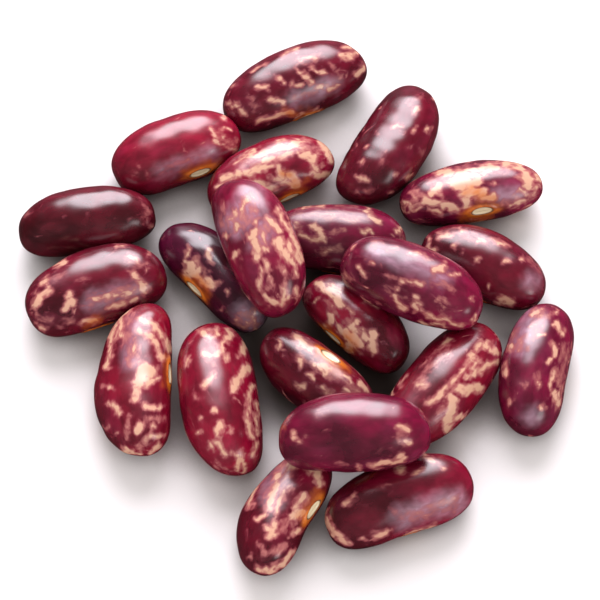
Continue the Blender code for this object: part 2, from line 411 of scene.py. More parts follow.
            cream(0.60, (-0.32, 0.44), (-0.12, 0.58)),
            cream(0.90, (0.04, 0.46), (0.24, 0.46), (0.36, 0.56)),
            cream(0.40, (0.10, 0.66), (0.34, 0.70)),
            cream(0.36, (0.44, 0.60), (0.56, 0.50)),
            cream(0.70, (-0.20, -0.10), (0.00, -0.14), (0.14, -0.24)),
            cream(0.45, (-0.14, 0.16), (0.08, 0.08)),
            cream(0.30, (0.20, -0.06), (0.34, -0.10)),
            cream(0.30, (0.42, -0.14), (0.56, -0.22)),
            cream(0.50, (0.62, 0.12), (0.76, 0.02), (0.85, -0.18), (0.78, -0.38), (0.64, -0.46)),
            cream(0.34, (0.28, -0.26), (0.40, -0.38), (0.54, -0.46)),
            cream(0.38, (-0.34, -0.80), (-0.30, -0.76)),
            cream(0.36, (-0.06, -0.68), (0.02, -0.76)),
            cream(0.40, (-0.64, 0.12), (-0.56, -0.10)),
            cream(0.36, (-0.38, 0.20), (-0.32, 0.04)),
            cream(0.36, (-0.46, -0.34), (-0.34, -0.40)),
            cream(0.28, (0.72, 0.40), (0.80, 0.32)),
            # Partly painted highlight: this salmon patch lies where the highlight falls.
            blush(2.20, (-0.62, 0.20), (-0.42, -0.10), (-0.44, -0.36)),
            blush(1.20, (-0.20, 0.30), (0.00, 0.00)),
            blush(0.60, (0.30, 0.25), (0.56, 0.26)),
            blush(0.60, (-0.72, -0.50), (-0.50, -0.72)),
            bloom(2.60, (-0.60, 0.20), (-0.45, -0.10), (-0.45, -0.40)),
            bloom(1.40, (-0.20, 0.30), (-0.05, 0.00)),
        ),
    ),
    Bean(
        "middle", 4.5, 6.5, -4, 0, -30, 0.0, 15.8, 7.8, 7.4, 0.030,
        Coat.DUSKY, PLUM_DYE, (-0.2, -0.8), 0.40, 0.20,
        marks=(
            cream(0.90, (-0.34, 0.36), (-0.22, 0.12)),
            cream(0.34, (-0.52, 0.02), (-0.36, -0.02), (-0.16, 0.00)),
            cream(0.60, (0.42, 0.86), (0.46, 0.70), (0.60, 0.55)),
            cream(0.36, (0.90, 0.48), (0.86, 0.28)),
            cream(0.30, (0.94, 0.12)),
            cream(0.30, (0.34, 0.28), (0.44, 0.24)),
            cream(0.26, (-0.60, 0.36)),
            cream(0.28, (-0.18, -0.40), (-0.04, -0.30)),
            cream(0.28, (-0.50, 0.88), (-0.20, 0.92)),
            blush(0.90, (-0.60, 0.60), (0.00, 0.66), (0.40, 0.62)),
            blush(0.50, (-0.60, 0.84), (-0.20, 0.92), (0.24, 0.92)),
            blush(0.60, (-0.10, 0.12), (0.10, 0.30)),
            blush(0.80, (-0.20, -0.36), (0.04, -0.24)),
            blush(0.60, (-0.70, 0.30), (-0.50, 0.20)),
        ),
    ),
    Bean(
        "top_right", 12.7, -1.9, -24, -3, -35, 5.2, 16.3, 8.2, 7.4, 0.020,
        Coat.FLECKED, PLUM_DYE, (-0.6, -0.4), 0.36, 0.24, rise=-1.2, stain=0.2,
        marks=(
            cream(0.42, (-0.72, -0.12), (-0.64, -0.32)),
            cream(0.36, (-0.14, -0.06), (-0.02, -0.04), (0.12, 0.08)),
            cream(0.24, (-0.60, 0.08)),
            cream(0.30, (0.40, -0.10), (0.50, -0.14)),
            cream(0.50, (-0.15, -0.35)),
            cream(0.50, (0.10, -0.35), (0.14, -0.36)),
            cream(0.42, (-0.16, -0.54), (-0.06, -0.66), (0.02, -0.78)),
            cream(0.30, (0.10, -0.56), (0.16, -0.64)),
            cream(0.36, (0.24, -0.62), (0.34, -0.66), (0.44, -0.62)),
            cream(0.40, (0.50, -0.58), (0.66, -0.62), (0.82, -0.56)),
            cream(0.36, (0.46, -0.78), (0.58, -0.80)),
            cream(0.32, (0.94, -0.20), (0.92, -0.40)),
            cream(0.36, (0.80, 0.18)),
            cream(0.60, (0.22, 0.52), (0.30, 0.70)),
            cream(0.44, (0.42, 0.56), (0.50, 0.64)),
            cream(0.28, (-0.20, 0.74), (0.06, 0.78)),
            cream(0.30, (-0.92, 0.26)),
            cream(0.30, (-0.55, -0.98), (-0.36, -0.96)),
            cream(0.30, (0.30, -0.92), (0.44, -0.92)),
            blush(0.40, (-0.40, -0.06), (-0.24, -0.14)),
            blush(0.80, (-0.65, 0.52), (-0.40, 0.62)),
            blush(0.60, (-0.90, -0.45), (-0.82, -0.60)),
            blush(0.80, (-0.30, -0.45), (0.20, -0.50)),
            blush(0.60, (0.20, 0.20), (0.50, 0.24)),
            bloom(0.90, (-0.62, 0.36), (0.34, 0.40)),
        ),
    ),
    Bean(
        "right", 20.9, 3.1, -26, 0, -20, 0.0, 14.9, 7.7, 7.0, 0.030,
        Coat.FLECKED, MAROON_DYE, (-0.5, -0.2), 0.24, 0.10,
        marks=(
            cream(0.42, (-0.50, 0.16)),
            cream(0.40, (-0.16, 0.00), (-0.12, 0.04)),
            cream(0.36, (0.24, 0.32), (0.30, 0.36)),
            cream(0.26, (0.46, 0.60)),
            cream(0.26, (0.20, -0.46)),
            cream(0.55, (-0.88, -0.06), (-0.80, -0.18)),
            cream(0.40, (-0.78, 0.30), (-0.64, 0.42)),
            cream(0.40, (-0.52, 0.64), (-0.42, 0.62)),
            cream(0.34, (-0.24, 0.60), (-0.10, 0.66)),
            cream(0.30, (0.08, 0.72), (0.20, 0.76)),
            cream(0.85, (0.42, -0.74), (0.60, -0.66)),
            cream(0.24, (-0.94, 0.10)),
            blush(1.00, (-0.60, 0.56), (-0.30, 0.62), (0.10, 0.70)),
            blush(0.40, (0.50, 0.50)),
            blush(0.50, (0.60, 0.62), (0.80, 0.50)),
            bloom(0.80, (0.72, 0.02), (0.75, 0.14)),
        ),
    ),
    Bean(
        "under_right", 6.7, -4.0, -44, 0, 0, 0.0, 14.0, 7.2, 7.0, 0.045,
        Coat.DUSKY, CARMINE_DYE, (0.5, 0.5), 0.36, 0.14, scar=-0.10, stain=0.9,
        marks=(
            cream(1.10, (-0.86, 0.06), (-0.60, 0.14), (-0.38, 0.06)),
            cream(0.50, (-0.68, 0.30), (-0.56, 0.34)),
            cream(0.34, (-0.24, 0.10), (-0.16, 0.08)),
            cream(0.55, (-0.02, -0.06), (0.00, -0.28)),
            cream(0.85, (0.34, -0.05), (0.40, -0.28)),
            cream(0.40, (0.16, -0.20), (0.28, -0.24)),
            cream(0.95, (-0.39, -0.48), (-0.35, -0.60)),
            cream(0.75, (-0.18, -0.46), (-0.05, -0.56)),
            cream(1.20, (0.12, -0.44), (0.14, -0.66), (0.16, -0.86)),
            cream(0.34, (-0.74, -0.30), (-0.72, -0.44)),
            cream(0.34, (-0.14, 0.62), (0.06, 0.68)),
            blush(0.90, (-0.10, -0.20), (0.20, -0.30)),
            blush(0.80, (-0.60, -0.20), (-0.40, -0.24)),
            blush(0.50, (-0.90, -0.30), (-0.84, -0.50)),
            amber(0.80, (-0.36, -0.86), (0.00, -0.90)),
            amber(0.60, (0.16, -0.60), (0.22, -0.84)),
            blush(1.00, (-0.10, -0.55), (0.30, -0.60)),
            cream(1.30, (-0.02, -0.48), (0.22, -0.52)),
            cream(0.60, (0.44, -0.34), (0.50, -0.42)),
            amber(0.90, (0.02, -0.56), (0.20, -0.66)),
        ),
    ),
    Bean(
        "centre", 2.0, -10.8, 142, 0, 60, 0.0, 14.4, 7.5, 7.0, 0.040,
        Coat.DUSKY, MAROON_DYE, (0.3, 0.6), 0.34, 0.20, scar=-0.11, stain=1.0,
        marks=(
            cream(0.90, (0.28, -0.62), (0.44, -0.66), (0.56, -0.66)),
            cream(0.44, (0.70, -0.06), (0.76, -0.24)),
            cream(0.80, (-0.12, -0.38), (-0.02, -0.50)),
            cream(0.50, (-0.46, -0.50), (-0.34, -0.58)),
            cream(0.44, (-0.66, -0.34), (-0.50, -0.20)),
            cream(0.34, (0.30, -0.06), (0.34, -0.18)),
            cream(0.36, (0.10, -0.26), (0.16, -0.34)),
            cream(0.36, (-0.34, 0.04), (-0.28, 0.14), (-0.16, 0.10)),
            cream(0.40, (0.06, 0.36), (0.14, 0.46)),
            cream(0.36, (0.00, 0.08), (0.10, 0.04)),
            cream(0.40, (-0.78, -0.60), (-0.62, -0.68)),
            blush(0.60, (-0.30, -0.30), (0.10, -0.20), (0.40, -0.26)),
            blush(0.90, (-0.70, -0.50), (-0.45, -0.45)),
            amber(1.00, (-0.28, -0.62), (-0.05, -0.56), (0.14, -0.66)),
            amber(0.50, (-0.34, -0.78), (-0.20, -0.62), (0.05, -0.58), (0.18, -0.74)),
            cream(0.60, (-0.10, -0.30), (0.04, -0.36)),
            bare(0.40, (0.18, -0.50), (0.20, -0.80)),
        ),
    ),
    Bean(
        "front_left", -17.4, -11.2, 89, 0, 20, 0.0, 18.0, 8.5, 7.3, 0.070,
        Coat.MARBLED, CARMINE_DYE, (-0.2, 0.5), 0.52, 0.22, scar=0.02, rise=-0.1, stain=0.8,
        marks=(
            cream(0.44, (0.15, 0.65), (0.40, 0.62)),
            cream(0.46, (0.55, 0.45), (0.80, 0.40), (0.90, 0.20)),
            cream(0.56, (0.40, -0.90), (0.60, -0.65), (0.75, -0.30), (0.80, 0.00)),
            cream(0.56, (0.20, -0.95), (0.35, -0.60), (0.55, -0.35), (0.60, -0.10)),
            cream(1.30, (-0.02, -0.14), (0.12, -0.20), (0.12, -0.50)),
            cream(0.45, (-0.30, -0.05), (-0.10, -0.10)),
            cream(0.50, (-0.35, -0.30), (-0.35, -0.75)),
            cream(0.90, (-0.68, -0.10), (-0.60, -0.25)),
            cream(0.55, (-0.72, -0.55), (-0.72, -0.80)),
            cream(0.40, (-0.60, -0.55)),
            cream(0.46, (-0.95, 0.20), (-0.95, -0.25)),
            cream(0.46, (-0.45, 0.30), (-0.35, 0.55)),
            cream(0.30, (-0.15, 0.62), (-0.14, 0.70)),
            cream(0.32, (-0.94, -0.54), (-0.85, -0.70)),
            cream(0.30, (0.30, -0.12), (0.42, 0.00)),
            blush(0.60, (-0.65, 0.60)),
            # Partly painted highlight: this salmon patch lies where the highlight falls.
            blush(0.90, (0.20, 0.10), (0.50, 0.20), (0.80, 0.20)),
            blush(0.80, (0.24, -0.20), (0.44, -0.10)),
            blush(0.60, (-0.80, 0.10), (-0.50, 0.05)),
            blush(0.60, (-0.50, -0.35), (-0.50, -0.80)),
            amber(0.60, (-0.05, -0.84), (0.30, -0.80)),
            bare(0.36, (0.27, -0.20), (0.23, -0.52)),
            bloom(0.50, (0.20, 0.14), (0.75, 0.10)),
            cream(0.60, (-0.06, -0.34), (0.04, -0.60)),
            cream(0.50, (0.50, 0.62), (0.74, 0.56)),
            blush(0.70, (-0.90, -0.20), (-0.76, -0.50)),
        ),
    ),
    Bean(
        "front_crimson", -8.3, -13.4, 100, 0, -30, 0.0, 18.2, 9.2, 7.6, 0.045,
        Coat.MARBLED, CRIMSON_DYE, (0.0, 0.20), 0.50, 0.10,
        marks=(
            cream(0.60, (0.90, 0.10), (0.80, -0.04), (0.86, -0.24)),
            cream(0.60, (0.64, 0.12), (0.56, -0.04), (0.62, -0.24)),
            cream(0.40, (0.72, -0.38), (0.50, -0.34)),
            cream(0.50, (0.20, 0.30), (0.34, 0.04)),
            cream(0.30, (-0.35, 0.60)),
            cream(0.44, (-0.55, 0.40), (-0.55, 0.20), (-0.70, 0.10)),
            cream(0.42, (-0.45, 0.15), (-0.30, 0.15)),
            cream(0.48, (-0.10, 0.16)),
            cream(0.36, (-0.70, -0.10), (-0.80, -0.26), (-0.95, -0.30)),
            cream(0.34, (-0.72, -0.30), (-0.90, -0.10)),
            cream(0.34, (-0.40, -0.10)),
            cream(0.46, (-0.55, -0.65), (-0.25, -0.60), (0.00, -0.75), (0.10, -0.90)),
            cream(0.36, (-0.14, -0.92), (-0.35, -0.82), (-0.48, -0.80)),
            cream(0.80, (0.10, -0.46), (0.25, -0.60), (0.34, -0.84)),
            cream(0.90, (0.54, -0.78), (0.64, -0.92)),
            cream(0.50, (0.70, -0.46), (0.84, -0.58)),
            cream(0.34, (-0.74, -0.58), (-0.62, -0.74)),
            cream(0.26, (0.60, 0.56), (0.52, 0.66)),
            cream(0.24, (-0.20, 0.50)),
            blush(1.20, (0.50, 0.00), (0.88, -0.10)),
            blush(0.50, (0.10, 0.50), (0.20, 0.56)),
            blush(0.70, (-0.90, 0.15), (-0.80, 0.35)),
        ),
    ),
    Bean(
        "top_front", 6.3, -20.2, 3, -1, -30, 5.3, 16.5, 8.4, 7.4, 0.030,
        Coat.DARK, PLUM_DYE, (-0.3, -0.6), 0.10, 0.04, rise=-1.2, stain=0.2,
        marks=(
            cream(0.42, (-0.80, 0.00), (-0.72, -0.20)),
            cream(0.42, (0.58, 0.05), (0.68, 0.04)),
            cream(0.46, (0.66, -0.22), (0.70, -0.28)),
            cream(0.50, (0.22, -0.84), (0.42, -0.76), (0.60, -0.68)),
            cream(0.24, (0.04, -0.90)),
            blush(0.30, (-0.65, -0.05)),
            blush(1.00, (0.60, -0.10), (0.64, -0.40)),
            blush(0.50, (-0.46, 0.50), (-0.36, 0.60)),
            blush(0.40, (-0.90, 0.36), (-0.84, 0.50)),
            amber(0.20, (-0.95, 0.30), (-0.95, 0.20)),
        ),
    ),
    Bean(
        "front_right", 15.9, -11.9, 232, 0, -20, 0.0, 17.3, 8.6, 7.6, 0.010,
        Coat.MARBLED, CARMINE_DYE, (0.1, -0.4), 0.50, 0.20,
        marks=(
            cream(0.48, (-0.80, 0.56), (-0.80, 0.10), (-0.70, 0.08)),
            cream(0.55, (-0.70, 0.65), (-0.40, 0.40), (-0.28, 0.34)),
            cream(0.60, (-0.30, 0.82), (-0.20, 0.55), (-0.10, 0.35)),
            cream(1.10, (0.02, 0.40), (0.20, 0.60), (0.34, 0.75)),
            cream(0.50, (0.10, 0.90), (0.20, 0.76)),
            cream(0.46, (-0.60, 0.05), (-0.30, 0.15), (0.00, 0.10), (0.25, 0.05)),
            cream(0.34, (0.20, -0.95), (0.32, -0.88)),
            cream(0.34, (0.10, -0.34), (0.20, -0.42)),
            cream(0.34, (-0.36, -0.42), (-0.16, -0.46)),
            cream(0.30, (-0.88, 0.76), (-0.78, 0.84)),
            cream(0.30, (-0.50, 0.24), (-0.44, 0.30)),
            cream(0.30, (-0.52, -0.64), (-0.44, -0.70)),
            blush(0.80, (0.16, 0.34), (0.38, 0.42)),
            blush(1.60, (-0.40, -0.50), (-0.10, -0.62)),
            blush(1.10, (0.04, -0.48), (0.18, -0.50)),
            blush(0.70, (-0.60, 0.40), (-0.55, 0.20)),
            blush(0.60, (0.50, 0.20), (0.70, 0.30)),
        ),
    ),
    Bean(
        "far_right", 26.4, -9.6, 77, 0, -30, 0.0, 15.9, 7.8, 7.0, 0.030,
        Coat.FLECKED, PLUM_DYE, (-0.3, 0.2), 0.36, 0.20,
        marks=(
            cream(0.46, (-0.18, 0.82), (-0.06, 0.82)),
            cream(0.32, (0.20, 0.74), (0.24, 0.80)),
            cream(0.24, (-0.56, 0.52)),
            cream(0.42, (-0.24, -0.22), (-0.20, -0.18)),
            cream(0.42, (-0.50, -0.46)),
            cream(0.46, (-0.20, -0.54), (0.00, -0.62)),
            cream(0.36, (0.10, -0.32), (0.18, -0.40)),
            cream(0.65, (0.26, -0.50), (0.42, -0.42)),
            cream(0.60, (0.62, -0.50), (0.70, -0.38)),
            cream(0.32, (0.90, -0.30)),
            cream(0.55, (-0.44, -0.84), (-0.28, -0.74)),
            cream(0.36, (0.78, 0.34), (0.86, 0.16)),
            cream(0.30, (0.50, 0.06), (0.53, -0.05)),
            blush(0.60, (0.34, 0.80), (0.50, 0.74)),
            blush(0.40, (-0.54, 0.50), (-0.46, 0.38)),
            blush(0.50, (-0.14, -0.14), (-0.06, -0.10)),
            blush(1.20, (-0.45, -0.85), (-0.10, -0.80), (0.40, -0.82)),
            # Partly painted highlight: this salmon patch lies where the highlight falls.
            blush(1.50, (0.30, 0.40), (0.62, 0.20), (0.80, 0.20)),
            blush(0.60, (-0.30, 0.20), (-0.24, 0.10)),
            blush(0.60, (0.80, -0.10), (0.92, -0.15)),
            bloom(0.40, (-0.72, -0.14), (-0.62, -0.24)),
            bloom(1.80, (0.30, 0.50), (0.70, 0.35)),
        ),
    ),
    Bean(
        "front_dark", 10.9, -25.4, 21, 0, -15, 0.0, 16.6, 8.3, 6.7, 0.040,
        Coat.DARK, WINE_DYE, (-0.9, 0.5), 0.14, 0.04, rise=-1.2, stain=0.2,
        marks=(
            cream(0.55, (-0.95, 0.32), (-0.97, 0.00), (-0.93, -0.32), (-0.78, -0.62)),
            cream(0.34, (-0.86, 0.60)),
            cream(0.40, (-0.65, 0.36), (-0.52, 0.42)),
            cream(0.36, (0.32, 0.50), (0.42, 0.48)),
            cream(0.34, (0.10, 0.74), (0.18, 0.70)),
            cream(0.34, (-0.60, -0.70)),
            cream(0.50, (-0.45, -0.70), (-0.29, -0.72)),
            cream(0.40, (0.52, 0.82), (0.60, 0.62)),
            cream(0.32, (0.66, 0.44), (0.68, 0.34)),
            cream(0.30, (-0.05, -0.95), (0.35, -0.98)),
            blush(0.36, (-0.15, 0.42)),
            blush(0.80, (0.55, 0.75), (0.68, 0.45)),
            # Partly painted highlight: this salmon patch lies where the second highlight falls.
            blush(1.20, (0.00, -0.50), (0.30, -0.60), (0.66, -0.50)),
            blush(0.50, (-0.10, -0.20), (-0.08, -0.50)),
            blush(0.60, (0.75, -0.50), (0.62, -0.75)),
            bloom(1.60, (0.00, -0.50), (0.40, -0.48), (0.70, -0.58)),
        ),
    ),
    Bean(
        "front", -1.5, -26.8, 61, 0, 25, 0.0, 14.9, 7.6, 6.5, 0.060,
        Coat.MARBLED, MAROON_DYE, (-0.6, 0.0), 0.52, 0.24, scar=0.17, stain=1.0,
        marks=(
            cream(0.60, (-0.45, -0.10), (-0.20, -0.06)),
            cream(0.50, (-0.30, 0.10), (-0.35, -0.20)),
            cream(0.90, (0.00, -0.42), (0.12, -0.58)),
            cream(0.50, (0.10, -0.26), (0.34, -0.34)),
            cream(0.60, (0.60, 0.45), (0.75, 0.10), (0.70, -0.35), (0.60, -0.60)),
            cream(0.50, (-0.90, -0.30), (-0.85, -0.60), (-0.65, -0.84), (-0.45, -0.90)),
            cream(0.30, (-0.85, 0.10)),
            cream(0.40, (-0.20, 0.88), (0.00, 0.94), (0.30, 0.94)),
            cream(0.80, (-0.05, 0.36), (0.15, 0.46), (0.40, 0.58)),
            cream(0.50, (-0.05, 0.10), (0.20, 0.16)),
            cream(0.36, (-0.30, 0.42), (-0.20, 0.34)),
            blush(0.60, (-0.60, -0.45)),
            # Partly painted highlight: this salmon patch lies where the highlight falls.
            blush(1.80, (0.00, 0.40), (0.30, 0.40), (0.50, 0.55)),
            blush(0.90, (0.30, 0.10), (0.55, 0.30)),
            blush(0.70, (-0.70, -0.20), (-0.60, -0.05)),
            amber(0.90, (0.06, -0.62), (0.30, -0.60), (0.50, -0.68)),
            bare(0.60, (0.46, 0.08), (0.54, -0.12)),
            cream(0.40, (-0.22, -0.60), (-0.14, -0.76)),
            blush(1.20, (-0.20, -0.36), (0.30, -0.45)),
            blush(0.90, (-0.65, -0.30), (-0.45, -0.65)),
            bloom(1.40, (0.10, 0.45), (0.50, 0.60)),
        ),
    ),
)


@dataclass(frozen=True)
class Rise:
    """A smooth rise from bottom to top, as a value goes from low to high."""

    low: float
    high: float
    bottom: float = 0.0
    top: float = 1.0

    def of(self, value: np.ndarray) -> np.ndarray:
        """Work the rise out: with s the share of the way, s squared times three less two s."""
        share = np.clip((value - self.low) / (self.high - self.low), 0, 1)
        return self.bottom + (self.top - self.bottom) * (share * share * (3 - 2 * share))


def bell(distance: np.ndarray, spread: float, steepness: int = 2) -> np.ndarray:
    """Fall from 1 as e to the minus of the distance in spreads, raised to the steepness."""
    return np.exp(-((distance / spread) ** steepness))


def distance_to_line(places: np.ndarray, line: np.ndarray) -> np.ndarray:
    """Measure from each place to the nearest point of a line of straight runs.

    Args:
        places: an array of pairs.
        line: the line's points, one or more.

    Returns:
        The distance for each place.
    """
    best = np.linalg.norm(places - line[0], axis=1)
    for start, end in zip(line[:-1], line[1:]):
        run = end - start
        share = ((places - start) @ run / (run @ run)).clip(0, 1)
        best = np.minimum(best, np.linalg.norm(places - start - share[:, None] * run, axis=1))
    return best


def turn_matrix(bean: Bean) -> np.ndarray:
    """Work out a bean's turn.

    It is rolled about its length, then tipped, then headed, as in the solids.

    Args:
        bean: the bean.

    Returns:
        A 3 by 3 matrix that takes the bean's own directions to the heap's.
    """
    heading, pitch, roll = np.radians([bean.heading, bean.pitch, bean.roll])
    about_x = np.array([
        [1, 0, 0],
        [0, np.cos(roll), np.sin(roll)],
        [0, -np.sin(roll), np.cos(roll)],
    ])
    about_y = np.array([
        [np.cos(pitch), 0, -np.sin(pitch)],
        [0, 1, 0],
        [np.sin(pitch), 0, np.cos(pitch)],
    ])
    about_z = np.array([
        [np.cos(heading), -np.sin(heading), 0],
        [np.sin(heading), np.cos(heading), 0],
        [0, 0, 1],
    ])
    return about_z @ about_y @ about_x


class Ripples:
    """Smooth random relief: a sum of plane waves with directions and phases drawn once."""

    WAVES = 14
    SLOWEST = 0.7
    QUICKEST = 1.4

    def __init__(self, rng: np.random.Generator, wavelength: float) -> None:
        """Draw the waves.

        Args:
            rng: the source of the draws.
            wavelength: the mean distance from crest to crest, in millimetres.
        """
        directions = rng.normal(size=(self.WAVES, 3))
        directions /= np.linalg.norm(directions, axis=1, keepdims=True)
        pace = rng.uniform(self.SLOWEST, self.QUICKEST, size=(self.WAVES, 1))
        self.vectors = directions * pace * 2 * math.pi / wavelength
        self.phases = rng.uniform(0, 2 * math.pi, size=self.WAVES)
        self.scale = math.sqrt(2 / self.WAVES)

    def __call__(self, points: np.ndarray) -> np.ndarray:
        """Give the height at each point, mostly within -2 and 2."""
        return np.sin(points @ self.vectors.T + self.phases).sum(axis=-1) * self.scale


@dataclass(frozen=True)
class BeanForm:
    """The form that every bean shares, as in the solids, and the grid that it is worked out on.

    Fullness is the power of the superellipse along the length. A lifted bean beds into the ones
    under it by the bedding, in millimetres.
    """

    fullness: float = 2.45
    bend_centre: float = 0.35
    taper: float = 0.035
    bedding: float = 0.10
    rings: int = 120
    sides: int = 112
    middle_crowding: float = 0.25
    scar_crowding: float = 0.45

    def grid(self) -> tuple[np.ndarray, np.ndarray]:
        """Lay out the rings and sides, crowded towards the middle and towards the scar's side.

        Returns:
            For each point, the fraction along from -1 to 1, and the angle around. The two last
            points are the ends.
        """
        step = np.linspace(0, math.pi, self.rings + 2)[1:-1]
        along = -np.cos(step + self.middle_crowding * np.sin(2 * step))
        turn = np.linspace(0, 2 * math.pi, self.sides, endpoint=False)
        around = turn + self.scar_crowding * np.sin(turn)
        along_all = np.append(np.repeat(along, self.sides), [-1.0, 1.0])
        around_all = np.append(np.tile(around, self.rings), [0.0, 0.0])
        return along_all, around_all

    def surface(self, bean: Bean, along: np.ndarray, around: np.ndarray, fuller: float) -> np.ndarray:
        """Work out a bean's plain form.

        The half-width follows a superellipse along the length, and the middle line is a parabola
        that bows away from the scar. One end is a little fuller than the other.

        Args:
            bean: the bean.
            along: each point's fraction along.
            around: each point's angle around.
            fuller: from -1 to 1, which end is fuller, and by how much of the taper.

        Returns:
            The points in the bean's own directions.
        """
        taper = 1 + self.taper * fuller * along
        girth = (1 - np.abs(along) ** self.fullness).clip(0) ** (1 / self.fullness) * taper
        bow = bean.bend * bean.length * (self.bend_centre - along**2)
        x = along * bean.length / 2
        y = bow + bean.width / 2 * girth * np.cos(around)
        z = bean.thickness / 2 * girth * np.sin(around)
        return np.stack([x, y, z], axis=-1)

    def normals(self, points: np.ndarray) -> np.ndarray:
        """Work out the outward normals from the differences between neighbours on the grid.

        Args:
            points: the surface's points.

        Returns:
            A unit vector for each point.
        """
        body = points[:-2].reshape(self.rings, self.sides, 3)
        first, last = (np.broadcast_to(end, (1, self.sides, 3)) for end in points[-2:])
        capped = np.concatenate([first, body, last])
        lengthwise = capped[2:] - capped[:-2]
        sideways = np.roll(body, -1, axis=1) - np.roll(body, 1, axis=1)
        across = np.cross(sideways, lengthwise).reshape(-1, 3)
        across /= np.linalg.norm(across, axis=1, keepdims=True)
        return np.vstack([across, [[-1.0, 0, 0], [1.0, 0, 0]]])

    def faces(self, offset: int) -> tuple[np.ndarray, np.ndarray]:
        """List one bean's faces: squares between the rings and a fan of triangles at each end.

        Args:
            offset: the number of the bean's first point in the joined mesh.

        Returns:
            The squares' corners and the triangles' corners, one row a face.
        """
        number = np.arange(self.rings * self.sides).reshape(self.rings, self.sides)
        following = np.roll(number, -1, axis=1)
        squares = np.stack([number[:-1], following[:-1], following[1:], number[1:]], axis=-1)
        first_end = np.full(self.sides, self.rings * self.sides)
        last_end = first_end + 1
        first_fan = np.stack([first_end, following[0], number[0]], axis=-1)
        last_fan = np.stack([last_end, number[-1], following[-1]], axis=-1)
        return squares.reshape(-1, 4) + offset, np.vstack([first_fan, last_fan]) + offset


@dataclass(frozen=True)
class ScarForm:
    """The scar where a bean hung in its pod: a rimmed oval with a groove and a ridge down it.

    Heights and half sizes are in millimetres. The lip, groove, dimple and ring are placed and
    spread in scars, a measure that is 0 in the scar's middle and 1 on its rim. The ridge and the
    knob past one end are spread in millimetres, and the knob is placed in half lengths.
    """

    half_length: float = 1.25
    half_width: float = 0.54
    lip: float = 0.12
    lip_place: float = 1.12
    lip_spread: float = 0.26
    groove: float = 0.13
    groove_spread: float = 0.86
    groove_steepness: int = 6
    ridge: float = 0.07
    ridge_spread: float = 0.13
    ridge_steepness: int = 4
    dimple: float = 0.16
    dimple_spread: float = 3.4
    knob: float = 0.10
    knob_place: float = 1.55
    knob_spread: float = 0.42
    ring_place: float = 1.2
    ring_spread: float = 0.75
    far: float = 9.0

    def distance(self, along: np.ndarray, height: np.ndarray, hollow: np.ndarray) -> np.ndarray:
        """Measure in scars from the scar's middle.

        Args:
            along: how far each point lies along from the scar's middle, in millimetres.
            height: how far it lies over the scar's middle line, in millimetres.
            hollow: whether it lies on the bean's hollow side.

        Returns:
            1 on the scar's rim and more outside it, and far on the bean's other side.
        """
        scars = np.hypot(along / self.half_length, height / self.half_width)
        return np.where(hollow, scars, self.far).clip(0, self.far)

    def raise_skin(
        self, skin: np.ndarray, scars: np.ndarray, x: np.ndarray, height: np.ndarray, middle: float
    ) -> np.ndarray:
        """Add the scar's relief to the skin's: lip, groove, ridge, dimple and knob, each a bell.

        Args:
            skin: how far each point stands off the plain form, in millimetres.
            scars: each point's distance in scars.
            x: each point's place along the bean, in millimetres.
            height: how far it lies over the scar's middle line, in millimetres.
            middle: where the scar's middle is along the bean, in millimetres.

        Returns:
            How far each point now stands off the plain form.
        """
        lip = self.lip * bell(scars - self.lip_place, self.lip_spread)
        groove = -self.groove * bell(scars, self.groove_spread, self.groove_steepness)
        ridge_share = bell(height, self.ridge_spread) * (1 - scars.clip(0, 1) ** self.ridge_steepness)
        dimple = -self.dimple * bell(scars, self.dimple_spread)
        from_knob = np.hypot(x - (middle + self.knob_place * self.half_length), height)
        knob = np.where(scars < self.far, self.knob * bell(from_knob, self.knob_spread), 0)
        return skin + lip + groove + self.ridge * ridge_share + dimple + knob


@dataclass(frozen=True)
class Skin:
    """The unevenness of a bean's surface: heights and mean crest distances, in millimetres."""

    swell_height: float = 0.085
    swell_length: float = 9.0
    dent_height: float = 0.018
    dent_length: float = 2.6

    def relief(self, rng: np.random.Generator, points: np.ndarray) -> np.ndarray:
        """Sum broad swells and small dents, drawn from rng in that order."""
        swell = Ripples(rng, self.swell_length)(points) * self.swell_height
        dent = Ripples(rng, self.dent_length)(points) * self.dent_height
        return swell + dent


@dataclass(frozen=True)
class Brush:
    """How marks and clouds are laid on a coat. Lengths are in millimetres.

    A mark's edge fades over twice the softness and wanders by two sizes of ripples. The three
    rises say how marks end where the coat turns away from the camera, what counts as shown, and
    how patches of the deep dye, which is partly painted shade, and clouds come in. Painted
    highlights are laid as soft lilac marks.
    """

    softness: float = 0.46
    # Painted highlights fade over a wider edge than other marks.
    painted_highlight_softness: float = 1.30
    spread: float = 0.15
    wander_broad: float = 0.12
    wander_broad_length: float = 2.4
    wander_fine: float = 0.06
    wander_fine_length: float = 0.8
    turning_away: Rise = Rise(0.02, 0.16)
    shown: Rise = Rise(0.0, 0.25)
    blush_and_sheen_strength: float = 0.42
    amber_strength: float = 0.75
    # A painted highlight pales the ground by this share, towards this lilac.
    painted_highlight_strength: float = 0.54
    painted_highlight_colour: Rgb = (0.48, 0.31, 0.40)
    patch_length: float = 7.0
    patch_share: float = 0.30
    patches: Rise = Rise(-0.9, 0.9)
    cloud_length: float = 3.2
    cloud_share: float = 0.30
    cloud_stretch: Triple = (0.55, 1.0, 1.0)
    clouds: Rise = Rise(0.2, 2.0)


